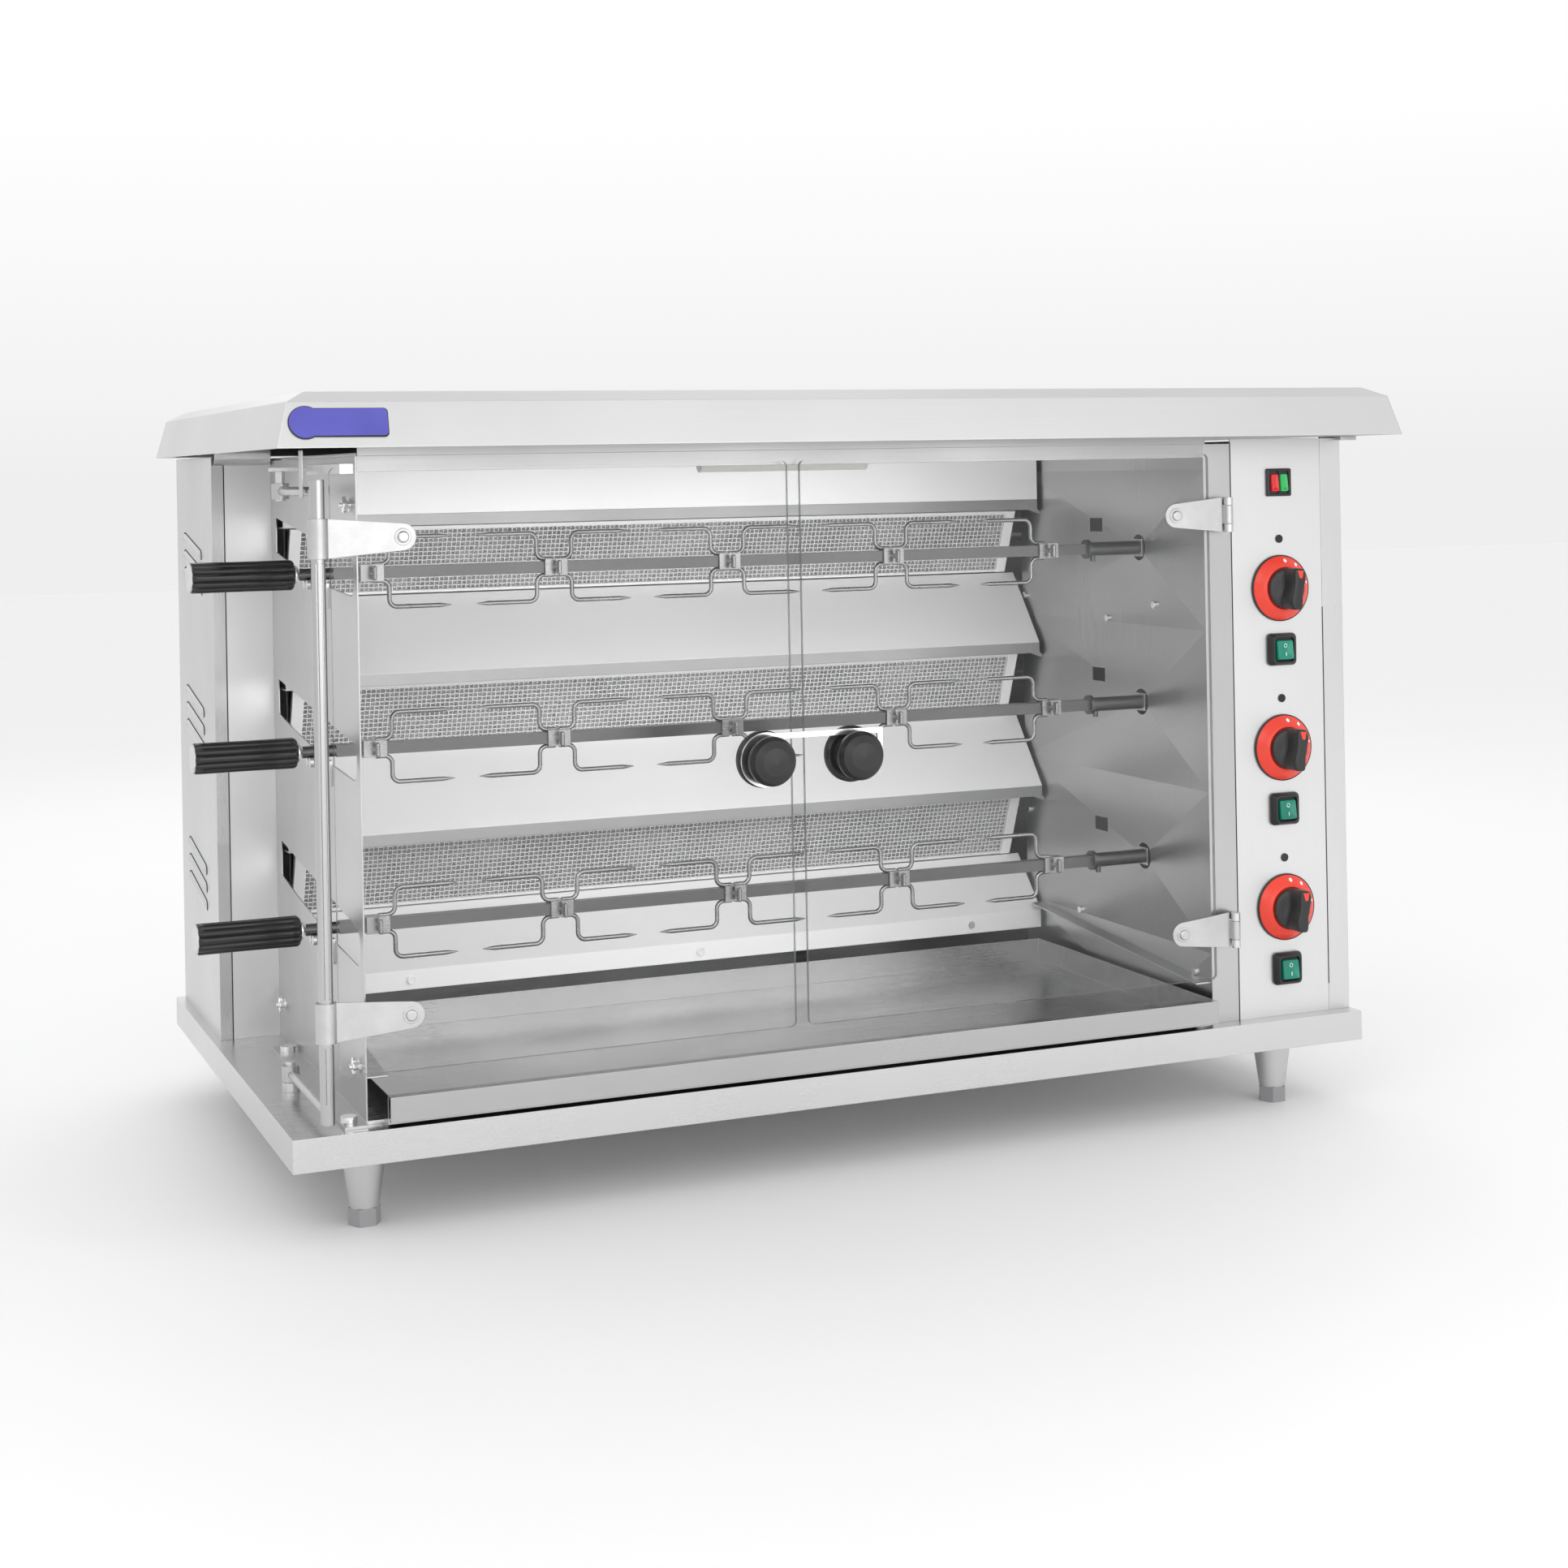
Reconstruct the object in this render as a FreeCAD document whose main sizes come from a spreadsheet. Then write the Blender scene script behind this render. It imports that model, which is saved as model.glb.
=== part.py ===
import FreeCAD, Part
import math
import os
import re

import Sketcher

# Countertop rotisserie oven with three spits, one above the other.
# Working frame: X to the right, Y to the rear, Z up, in millimetres, with the
# front left corner of the base at X = 0, Y = 0 and the floor at Z = 0.
# Every sub-part is moved by (shift_x, shift_y), so that the model's origin is
# the middle of its footprint box, on the floor.

DRIVING = {
    # base and feet
    "base_width": 1200,
    "base_depth": 700,
    "deck_height": 104,
    "base_lip": 32,
    "sheet_gauge": 1.5,
    "foot_inset_x": 80,
    "foot_inset_y": 60,
    "leg_radius": 21,
    "leg_tip_radius": 14.5,
    "leg_taper_top": 64,
    "tip_height": 17,
    "tip_radius": 16,
    "stud_radius": 5,
    "stud_top": 45,
    # roof
    "roof_left": -14,
    "roof_right": 1227,
    "roof_front": -57,
    "roof_back": 692,
    "roof_edge": 750,
    "roof_shoulder": 793,
    "roof_top": 803,
    "roof_flare": 11,
    "roof_bevel": 20,
    # cooking chamber and rear compartment
    "wall_left": 76,
    "wall_right": 1018,
    "wall_front": 20,
    "wall_back": 445,
    "lamp_left": 440,
    "lamp_right": 660,
    "lamp_front": 70,
    "lamp_back": 130,
    "lamp_depth": 6,
    "tube_radius": 9,
    "header_low": 728,
    "header_step": 743,
    "header_high": 762,
    "header_depth": 30,
    "corner_left": 9,
    "corner_seam": 23,
    "back_plane": 688,
    "rear_top": 748,
    # control cabinet
    "panel_left": 1053,
    "panel_right": 1171,
    "cabinet_right": 1198,
    "panel_front": 20,
    "control_x": 1115,
    "knob_below": 45,
    "rocker_below": 113,
    "lens_above": 10,
    "twin_above": 73,
    "stem_radius": 4,
    # spits
    "spit_depth": 160,
    "spit_low": 270,
    "spit_pitch": 178,
    "bar_side": 12,
    "handle_left": -60,
    "handle_right": 43,
    "handle_radius": 15.5,
    "sleeve_left": 947,
    "sleeve_radius": 8,
    "coupling_side": 20,
    "shaft_radius": 6,
    "hub_length": 24,
    "hub_wall": 2.5,
    "fork_first": 120,
    "fork_pitch": 194,
    "prong_offset": 35.5,
    "prong_reach": 72,
    "prong_radius": 2.3,
    "prong_bend": 8,
    "rest_radius": 5,
    "rest_spread": 6.2,
    "rest_drop": 9.7,
    # burners
    "hood_low": 325,
    "hood_front": 395,
    "hood_lip": 13,
    "screen_top": 430,
    "screen_foot": 462,
    "screen_drop": 91,
    "splash_front": 404,
    "splash_high": 170,
    "splash_low": 148,
    "panel_gauge": 1.2,
    "tank_wall": 2,
    # doors
    "glass_front": 10,
    "glass_gauge": 5,
    "glass_low": 155,
    "glass_high": 732,
    "glass_left": 48,
    "glass_middle_left": 517,
    "glass_middle_right": 531,
    "glass_right": 1018,
    "leaf_low": 208,
    "leaf_high": 665,
    "leaf_half": 19,
    "leaf_tip": 13,
    "leaf_gauge": 2,
    "left_leaf_reach": 94,
    "right_leaf_reach": 78,
    "right_axis_x": 1040,
    "right_axis_y": 5,
    "knuckle_radius": 5,
    "knuckle_height": 20,
    "pin_radius": 2.5,
    "barrel_radius": 10,
    "knob_left_x": 484,
    "knob_right_x": 581,
    "knob_height": 430,
    "neck_radius": 20,
    # swing frame that carries the left door
    "post_x": 36,
    "post_y": 12,
    "post_radius": 7,
    "post_low": 112,
    "post_high": 721,
    "arm_low": 122,
    "arm_high": 710,
    "arm_radius": 4.5,
    "pivot_y": 188,
    "pivot_radius": 5,
    # drip tray
    "tray_left": 91,
    "tray_right": 1006,
    "tray_front": 0,
    "tray_low": 108,
    "tray_rim": 136,
    "tray_back": 396,
    # services at the rear
    "inlet_height": 160,
    "inlet_radius": 10.48,
    "inlet_length": 24,
    "louvre_front": 520,
    "louvre_length": 113,
    "louvre_height": 4,
    "louvre_pitch": 20,
    "louvre_drop": 12,
    "vent_first": 200,
    "vent_low": 200,
    "vent_across": 170,
    "vent_rise": 26,
    "vent_length": 70,
    "vent_height": 6,
    "terminal_left": 1060,
    "terminal_right": 1140,
    "terminal_front": 640,
    "terminal_back": 670,
    "terminal_height": 40,
    "rail_half": 8,
    "rail_top": 640,
    "branch_radius": 5,
    "branch_x": 1150,
    "gland_x": 1150,
    "gland_height": 240,
    "cord_way": 5,
    # clearances
    "running": 0.05,
    "gap": 0.4,
    # from the base's corner to the middle of the footprint box
    "shift_x": -582.5,
    "shift_y": -327.5,
}

TIERS = ("lower", "middle", "upper")
PLANES = {"xy": "XY_Plane", "xz": "XZ_Plane", "yz": "YZ_Plane"}
TURNS = {
    "x": FreeCAD.Rotation(FreeCAD.Vector(0, 1, 0), 90),
    "y": FreeCAD.Rotation(FreeCAD.Vector(1, 0, 0), -90),
    "z": FreeCAD.Rotation(),
}

doc = FreeCAD.newDocument("rotisserie_oven")
sheet = doc.addObject("Spreadsheet::Sheet", "dims")
for row, (alias, value) in enumerate(DRIVING.items(), 1):
    sheet.set(f"A{row}", alias)
    sheet.set(f"B{row}", str(value))
    sheet.setAlias(f"B{row}", alias)
doc.recompute()

places = {}
nodes = []
counter = {}


def expression(text):
    """Put the sheet's name before each alias in a formula."""
    def prefix(match):
        word = match.group(0)
        return "dims." + word if word in DRIVING else word
    return re.sub(r"[a-z][a-z_]*", prefix, str(text))


def number(text):
    """The present value of a formula."""
    found = sheet.evalExpression(expression(text))
    return float(getattr(found, "Value", found))


def vector(x, y, z):
    return FreeCAD.Vector(number(x), number(y), number(z))


def fresh(stem):
    """An internal name that no other object has."""
    counter[stem] = counter.get(stem, 0) + 1
    return f"{stem}_{counter[stem]}"


def bind(obj, **formulas):
    for name, text in formulas.items():
        obj.setExpression(name, expression(text))


def put(obj, x, y, z):
    places[obj.Name] = (x, y, z)
    for axis, text in zip("xyz", (x, y, z)):
        obj.setExpression(f"Placement.Base.{axis}", expression(text))


def box(length, width, height, x, y, z):
    obj = doc.addObject("Part::Box", fresh("box"))
    bind(obj, Length=length, Width=width, Height=height)
    put(obj, x, y, z)
    return obj


def span(x_low, x_high, y_low, y_high, z_low, z_high):
    """A box between two values on each axis."""
    return box(f"({x_high}) - ({x_low})", f"({y_high}) - ({y_low})",
               f"({z_high}) - ({z_low})", x_low, y_low, z_low)


def cylinder(radius, height, x, y, z, axis="z"):
    obj = doc.addObject("Part::Cylinder", fresh("cylinder"))
    obj.Placement = FreeCAD.Placement(FreeCAD.Vector(), TURNS[axis])
    bind(obj, Radius=radius, Height=height)
    put(obj, x, y, z)
    return obj


def cone(radius_low, radius_high, height, x, y, z, axis="z"):
    obj = doc.addObject("Part::Cone", fresh("cone"))
    obj.Placement = FreeCAD.Placement(FreeCAD.Vector(), TURNS[axis])
    bind(obj, Radius1=radius_low, Radius2=radius_high, Height=height)
    put(obj, x, y, z)
    return obj


def ball(radius, x, y, z):
    obj = doc.addObject("Part::Sphere", fresh("ball"))
    bind(obj, Radius=radius)
    put(obj, x, y, z)
    return obj


def frustum(x_low, x_high, y_low, y_high, z_low, z_high, inset):
    """A block with a rectangular foot, narrower by inset on each side at the top."""
    obj = doc.addObject("Part::Wedge", fresh("frustum"))
    turn = FreeCAD.Rotation(FreeCAD.Vector(1, 0, 0), 90)
    obj.Placement = FreeCAD.Placement(FreeCAD.Vector(), turn)
    bind(obj, Xmin=x_low, Xmax=x_high, Ymin=z_low, Ymax=z_high,
         Zmin=f"-({y_high})", Zmax=f"-({y_low})",
         X2min=f"({x_low}) + {inset}", X2max=f"({x_high}) - {inset}",
         Z2min=f"-({y_high}) + {inset}", Z2max=f"-({y_low}) - {inset}")
    return obj


def fuse(*parts):
    if len(parts) == 1:
        return parts[0]
    obj = doc.addObject("Part::MultiFuse", fresh("fuse"))
    obj.Shapes = list(parts)
    return obj


def cut(base, *tools):
    obj = doc.addObject("Part::Cut", fresh("cut"))
    obj.Base = base
    obj.Tool = fuse(*tools)
    return obj


def group(parts):
    """Separate solids kept together in one node."""
    obj = doc.addObject("Part::Compound", fresh("group"))
    obj.Links = list(parts)
    return obj


def node(label, obj):
    """Name a sub-part and move it from the working frame to the model's origin."""
    obj.Label = label
    x, y, z = places.get(obj.Name, ("0", "0", "0"))
    obj.setExpression("Placement.Base.x", expression(f"shift_x + {x}"))
    obj.setExpression("Placement.Base.y", expression(f"shift_y + {y}"))
    obj.setExpression("Placement.Base.z", expression(z))
    nodes.append(obj)


def feature(label, shape):
    """A sub-part whose shape is made in code, moved to the model's origin."""
    obj = doc.addObject("Part::Feature", fresh("shape"))
    obj.Shape = shape
    shift = FreeCAD.Placement(vector("shift_x", "shift_y", "0"), FreeCAD.Rotation())
    obj.Placement = shift.multiply(shape.Placement)
    obj.Label = label
    nodes.append(obj)


def sketch_on(body, plane, offset="0"):
    """An empty sketch on an origin plane of its body."""
    sketch = body.newObject("Sketcher::SketchObject", fresh("outline"))
    base = [item for item in body.Origin.OriginFeatures if item.Role == PLANES[plane]][0]
    sketch.AttachmentSupport = [(base, "")]
    sketch.MapMode = "FlatFace"
    sketch.setExpression("AttachmentOffset.Base.z", expression(offset))
    return sketch


def locate(sketch, geometry, point, u, v):
    """Bind a sketch point's distances from the sketch origin."""
    for kind, text in (("DistanceX", u), ("DistanceY", v)):
        rule = Sketcher.Constraint(kind, -1, 1, geometry, point, number(text))
        index = sketch.addConstraint(rule)
        sketch.setExpression(f"Constraints[{index}]", expression(text))


def polygon(sketch, points):
    corners = [FreeCAD.Vector(number(u), number(v), 0) for u, v in points]
    count = len(corners)
    for index in range(count):
        sketch.addGeometry(Part.LineSegment(corners[index], corners[(index + 1) % count]))
    for index in range(count):
        sketch.addConstraint(Sketcher.Constraint("Coincident", index, 2, (index + 1) % count, 1))
    for index, (u, v) in enumerate(points):
        locate(sketch, index, 1, u, v)
    return sketch


def circle(sketch, u, v, radius):
    centre = FreeCAD.Vector(number(u), number(v), 0)
    ring = sketch.addGeometry(Part.Circle(centre, FreeCAD.Vector(0, 0, 1), number(radius)))
    locate(sketch, ring, 3, u, v)
    size = sketch.addConstraint(Sketcher.Constraint("Radius", ring, number(radius)))
    sketch.setExpression(f"Constraints[{size}]", expression(radius))
    return sketch


def plate(plane, offset, thickness, points):
    """A body padded from one outline, along its plane's normal."""
    body = doc.addObject("PartDesign::Body", fresh("body"))
    solid = body.newObject("PartDesign::Pad", fresh("pad"))
    solid.Profile = polygon(sketch_on(body, plane, offset), points)
    solid.setExpression("Length", expression(thickness))
    doc.recompute()
    return body


def pierce(body, sketch):
    """Cut a sketch's outline right through its body."""
    before = body.Shape.Volume
    pocket = body.newObject("PartDesign::Pocket", fresh("window"))
    pocket.Profile = sketch
    pocket.Midplane = True
    pocket.Length = 20
    doc.recompute()
    if not 0 < pocket.Shape.Volume < before:
        raise RuntimeError(f"{pocket.Name} cut nothing")


def rectangle(u_low, u_high, v_low, v_high):
    return [(u_low, v_low), (u_high, v_low), (u_high, v_high), (u_low, v_high)]


def round_edges(body, radius, axis):
    """Fillet a body's straight edges that run along one axis."""
    base = body.Tip
    names = []
    for index, edge in enumerate(base.Shape.Edges, 1):
        run = edge.Vertexes[-1].Point - edge.Vertexes[0].Point
        if run.Length > 0 and abs(run.normalize().dot(axis)) > 0.999:
            names.append(f"Edge{index}")
    fillet = body.newObject("PartDesign::Fillet", fresh("rounding"))
    fillet.Base = (base, names)
    fillet.setExpression("Radius", expression(radius))
    doc.recompute()


def tier_height(tier):
    """Height of one spit's axis."""
    return f"(spit_low + {tier} * spit_pitch)"


def hood_height(tier):
    """Height of the top of one burner's hood."""
    return f"(hood_low + {tier} * spit_pitch)"


# ---------------------------------------------------------------- base and feet

def base_tray():
    body = plate("xy", "deck_height - base_lip", "base_lip",
                 rectangle("0", "base_width", "0", "base_depth"))
    inside = rectangle("sheet_gauge", "base_width - sheet_gauge",
                       "sheet_gauge", "base_depth - sheet_gauge")
    before = body.Shape.Volume
    pocket = body.newObject("PartDesign::Pocket", "deck_hollow")
    pocket.Profile = polygon(sketch_on(body, "xy", "deck_height - base_lip"), inside)
    pocket.Reversed = True
    pocket.setExpression("Length", expression("base_lip - sheet_gauge"))
    doc.recompute()
    if body.Shape.Volume > before / 2:
        raise RuntimeError("the deck is not hollow underneath")
    node("base_tray", body)


def feet():
    legs = []
    tips = []
    for x in ("foot_inset_x", "base_width - foot_inset_x"):
        for y in ("foot_inset_y", "base_depth - foot_inset_y"):
            leg = fuse(
                cone("leg_tip_radius", "leg_radius", "leg_taper_top - tip_height", x, y, "tip_height"),
                cylinder("leg_radius", "deck_height - sheet_gauge - leg_taper_top", x, y, "leg_taper_top"))
            bore = cylinder("stud_radius + 0.1", "stud_top + 2 - tip_height", x, y, "tip_height")
            legs.append(cut(leg, bore))
            prism = doc.addObject("Part::Prism", fresh("prism"))
            prism.Polygon = 6
            bind(prism, Circumradius="tip_radius", Height="tip_height")
            put(prism, x, y, "0")
            stud = cylinder("stud_radius", "stud_top - tip_height + 1", x, y, "tip_height - 1")
            tips.append(fuse(prism, stud))
    node("feet_legs", group(legs))
    node("feet_tips", group(tips))


# ---------------------------------------------------------------- roof

def grown(edges, amount):
    """Four side positions, each moved inwards by an amount."""
    x_low, x_high, y_low, y_high = edges
    return (f"{x_low} + {amount}", f"{x_high} - {amount}", f"{y_low} + {amount}", f"{y_high} - {amount}")


def roof():
    rim = ("roof_left", "roof_right", "roof_front", "roof_back")
    shoulder = grown(rim, "roof_flare")
    skin = fuse(
        frustum(*rim, "roof_edge", "roof_shoulder", "roof_flare"),
        frustum(*shoulder, "roof_shoulder", "roof_top", "roof_bevel"))
    top = "roof_top - sheet_gauge"
    crease = "roof_shoulder - sheet_gauge"
    hollow = fuse(
        frustum(*grown(rim, "sheet_gauge"), "roof_edge", crease, "roof_flare"),
        frustum(*grown(shoulder, "sheet_gauge"), crease, top, "roof_bevel"))
    node("roof_canopy", cut(skin, hollow))


def badge():
    """A blank badge with a round left end, lying on the sloping front of the roof."""
    disc_radius = 15
    plate_height = 26
    length = 92
    thickness = 2
    corner = 4
    disc = Part.makeCylinder(disc_radius, thickness)
    panel = Part.makeBox(length - disc_radius, plate_height, thickness,
                         FreeCAD.Vector(0, -plate_height / 2, 0))
    upright = [edge for edge in panel.Edges
               if min(vertex.X for vertex in edge.Vertexes) > length - disc_radius - 1
               and abs(edge.Vertexes[0].Z - edge.Vertexes[-1].Z) > 1]
    shape = disc.fuse(panel.makeFillet(corner, upright)).removeSplitter()
    slope = math.degrees(math.atan(number("roof_flare / (roof_shoulder - roof_edge)")))
    middle = vector("roof_left + 27", "roof_front + roof_flare / 2 + 0.5",
                    "(roof_edge + roof_shoulder) / 2 + 2")
    turn = FreeCAD.Rotation(FreeCAD.Vector(1, 0, 0), 90 - slope)
    shape.Placement = FreeCAD.Placement(middle, turn)
    feature("badge_plate", shape)


def header():
    t = "sheet_gauge"
    proud = "(wall_front - 4)"
    back = "(wall_front + header_depth)"
    profile = [("wall_front", "header_low"), (back, "header_low"), (back, f"header_low + {t}"),
               (f"wall_front + {t}", f"header_low + {t}"), (f"wall_front + {t}", f"header_step + {t}"),
               (f"{proud} + {t}", f"header_step + {t}"), (f"{proud} + {t}", "header_high"),
               (proud, "header_high"), (proud, "header_step"), ("wall_front", "header_step")]
    node("header_rail", plate("yz", "wall_left", "wall_right - wall_left", profile))
    node("inner_ceiling", span("wall_left", "wall_right", f"wall_front + {t}", "wall_back",
                               f"header_step + {t}", f"header_step + 2 * {t}"))
    top = "header_step + sheet_gauge"
    node("chamber_lamp", fuse(
        span("lamp_left", "lamp_right", "lamp_front", "lamp_back", f"{top} - lamp_depth", top),
        cylinder("tube_radius", "lamp_right - lamp_left - 30", "lamp_left + 15",
                 "(lamp_front + lamp_back) / 2", f"{top} - lamp_depth - tube_radius + 1", "x")))


# ---------------------------------------------------------------- chamber walls

SLOT = [  # depth, and height over the spit's axis, round one slot in the left wall
    ("418", "54"), ("42", "18.5"), ("34", "10"), ("34", "-10"), ("44", "-18"), ("67", "-17"),
    ("163", "-12"), ("345", "6"), ("418", "16"),
]


def left_wall():
    """Side wall with three slanted slots that the spits pass through, and a foot flange."""
    body = plate("yz", "wall_left - sheet_gauge", "sheet_gauge",
                 rectangle("wall_front", "wall_back", "deck_height", "header_step"))
    for tier in range(3):
        outline = [(y, f"{tier_height(tier)} + ({rise})") for y, rise in SLOT]
        sketch = sketch_on(body, "yz", "wall_left")
        pierce(body, polygon(sketch, outline))
    foot = span("wall_left - 24", "wall_left - sheet_gauge", "12", "375",
                "deck_height", "deck_height + 3")
    node("wall_left", fuse(body, foot))


def right_wall():
    """Side wall with the drive holes, and the jamb that its front edge folds into."""
    outer = "wall_right + sheet_gauge"
    wall = fuse(
        span("wall_right", outer, "wall_front", "wall_back", "deck_height", "header_step"),
        span(outer, "panel_left - gap", "wall_front", "wall_front + sheet_gauge",
             "deck_height", "header_step"))
    openings = []
    for tier in range(3):
        height = tier_height(tier)
        openings.append(cylinder("coupling_side * 0.75", "4", "wall_right - 1", "spit_depth", height, "x"))
        openings.append(box("4", "30", "16", "wall_right - 1", "spit_depth + 82", f"{height} + 17"))
    node("wall_right", cut(wall, *openings))


def reflectors():
    """Bright panels that lean forwards from each screen's foot to the next hood."""
    g = "panel_gauge"
    left = "wall_left + 2"
    reach = "wall_right - wall_left - 6"
    panels = [plate("yz", left, reach,
                    rectangle("hood_front", f"hood_front + {g}", hood_height(2),
                              "header_step + sheet_gauge - gap"))]
    for tier in (1, 2):
        head = f"({hood_height(tier)} - screen_drop - 2)"
        foot = hood_height(tier - 1)
        panels.append(plate("yz", left, reach, [
            ("screen_foot", head), ("hood_front", foot), (f"hood_front + {g}", foot),
            (f"screen_foot + {g}", head)]))
    head = f"({hood_height(0)} - screen_drop - 2)"
    panels.append(plate("yz", left, reach, [
        ("screen_foot", head), ("splash_front", "splash_high"), ("splash_front", "splash_low"),
        (f"splash_front + {g}", "splash_low"), (f"splash_front + {g}", f"splash_high - {g}"),
        (f"screen_foot + {g}", f"{head} - {g}")]))
    node("reflector_panels", group(panels))


def burners():
    g = "panel_gauge"
    left = "wall_left + 2"
    reach = "wall_right - wall_left - 6"
    hoods = []
    screens = []
    tanks = []
    for tier in range(3):
        top = hood_height(tier)
        low = f"({top} - hood_lip)"
        hoods.append(plate("yz", left, reach, [
            ("hood_front", top), ("hood_front", low), ("screen_top", low),
            ("screen_top", f"{low} + {g}"), (f"hood_front + {g}", f"{low} + {g}"),
            (f"hood_front + {g}", top)]))
        foot = f"{top} - screen_drop"
        screens.append(plate("yz", "wall_left + 16", "wall_right - wall_left - 34", [
            ("screen_top - 2", f"{low} - 1"), ("screen_top", f"{low} - 1"),
            ("screen_foot", foot), ("screen_foot - 2", foot)]))
        tank = span("wall_left + 16", "wall_right - 18", "screen_foot + 2", "screen_foot + 50",
                    f"{foot} + 2", f"{low} - 2")
        inlet = span("wall_right - 90", "wall_right - 60", "screen_foot + 50", "screen_foot + 58",
                     f"{top} - 63", f"{top} - 37")
        venturi = cylinder("13", "70", "wall_right - 90", "screen_foot + 70", f"{top} - 50", "x")
        hollow = span("wall_left + 16 + tank_wall", "wall_right - 18 - tank_wall", "screen_foot + 1",
                      "screen_foot + 50 - tank_wall", f"{foot} + 2 + tank_wall", f"{low} - 2 - tank_wall")
        tanks.append(cut(fuse(tank, inlet, venturi), hollow))
    node("burner_hoods", group(hoods))
    node("burner_screens", group(screens))
    node("burner_bodies", group(tanks))


def rear_compartment():
    """Louvred side, the seam and corner panels in front of it, and the rear cover."""
    t = "sheet_gauge"
    side = fuse(
        span("corner_left", f"corner_left + {t}", "wall_back - 2", f"back_plane - {t}",
             "deck_height", "rear_top"),
        span(f"corner_left + {t}", "corner_seam - gap", "wall_back - 2", f"wall_back - 2 + {t}",
             "deck_height", "rear_top"))
    slots = []
    slant = FreeCAD.Rotation(FreeCAD.Vector(1, 0, 0), 9.5)
    for tier in range(3):
        for step in (-1, 0, 1):
            slot = doc.addObject("Part::Box", fresh("louvre"))
            slot.Placement = FreeCAD.Placement(FreeCAD.Vector(), slant)
            bind(slot, Length="4", Width="louvre_length", Height="louvre_height")
            put(slot, "corner_left - 1", "louvre_front",
                f"{tier_height(tier)} - louvre_drop + ({step}) * louvre_pitch")
            slots.append(slot)
    node("louvre_panel", cut(side, *slots))
    node("corner_panel", span("corner_seam", f"wall_left - {t}", "wall_back - 2",
                              f"wall_back - 2 + {t}", "deck_height", "rear_top"))
    cover = span("corner_left", f"cabinet_right - {t}", f"back_plane - {t}", "back_plane",
                 "deck_height", "rear_top")
    vents = [box("vent_length", "4", "vent_height", f"vent_first + {column} * vent_across",
                 "back_plane - 3", f"vent_low + {row} * vent_rise")
             for column in range(5) for row in range(4)]
    gas_way = cylinder("inlet_radius + 1", "4", "control_x", "back_plane - 3", "inlet_height", "y")
    node("rear_cover", cut(cover, gas_way, *vents))
    gland = fuse(
        cylinder("12", "6", "gland_x", "back_plane", "gland_height", "y"),
        cylinder("9", "18", "gland_x", "back_plane", "gland_height", "y"))
    node("cable_gland", cut(gland, cylinder("cord_way", "14", "gland_x", "back_plane + 4",
                                            "gland_height", "y")))
    node("terminal_block", span("terminal_left", "terminal_right", "terminal_front", "terminal_back",
                                "deck_height", "deck_height + terminal_height"))


# ---------------------------------------------------------------- gas

def pipe(radius, corners):
    """Straight runs along the axes with a ball at each turn."""
    pieces = []
    for first, last in zip(corners, corners[1:]):
        values = [(number(a), number(b)) for a, b in zip(first, last)]
        axis = max(range(3), key=lambda place: abs(values[place][0] - values[place][1]))
        low, high = (first, last) if values[axis][0] < values[axis][1] else (last, first)
        length = f"({high[axis]}) - ({low[axis]})"
        pieces.append(cylinder(radius, length, *low, "xyz"[axis]))
    pieces += [ball(radius, *corner) for corner in corners[1:-1]]
    return fuse(*pieces)


def gas_line():
    rail = fuse(
        span("control_x - rail_half", "control_x + rail_half", "panel_front + 52",
             "panel_front + 52 + 2 * rail_half", "inlet_height - 10", "rail_top"),
        cylinder("rail_half", "back_plane - panel_front - 67", "control_x", "panel_front + 67",
                 "inlet_height", "y"),
        cylinder("inlet_radius", "inlet_length", "control_x", "back_plane", "inlet_height", "y"))
    runs = [rail]
    for tier in range(3):
        high = f"({hood_height(tier)} - 50)"
        low = f"({tier_height(tier)} - knob_below - 10)"
        rear = "screen_foot + 70"
        front = "panel_front + 40"
        runs.append(pipe("branch_radius", [
            ("wall_right - 20", rear, high), ("branch_x", rear, high), ("branch_x", rear, low),
            ("branch_x", front, low), ("control_x + 16", front, low)]))
    node("gas_line", group(runs))


# ---------------------------------------------------------------- control cabinet

def cabinet():
    t = "sheet_gauge"
    node("cabinet_side", fuse(
        span(f"cabinet_right - {t}", "cabinet_right", "panel_front", "back_plane",
             "deck_height", "rear_top"),
        span("panel_right + gap", f"cabinet_right - {t}", "panel_front", f"panel_front + {t}",
             "deck_height", "rear_top")))
    face = span("panel_left", "panel_right", "panel_front", f"panel_front + {t}",
                "deck_height", "rear_top")
    ahead = "panel_front - 1"
    twin = f"{tier_height(2)} + twin_above"
    holes = [box("25", "4", "26", "control_x - 12.5", ahead, f"{twin} - 13")]
    for tier in range(3):
        height = tier_height(tier)
        holes.append(cylinder("6", "4", "control_x", ahead, f"{height} - knob_below", "y"))
        holes.append(box("26", "4", "28", "control_x - 13", ahead, f"{height} - rocker_below - 14"))
        holes.append(cylinder("3.4", "4", "control_x", ahead, f"{height} + lens_above", "y"))
    node("control_panel", cut(face, *holes))


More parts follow.
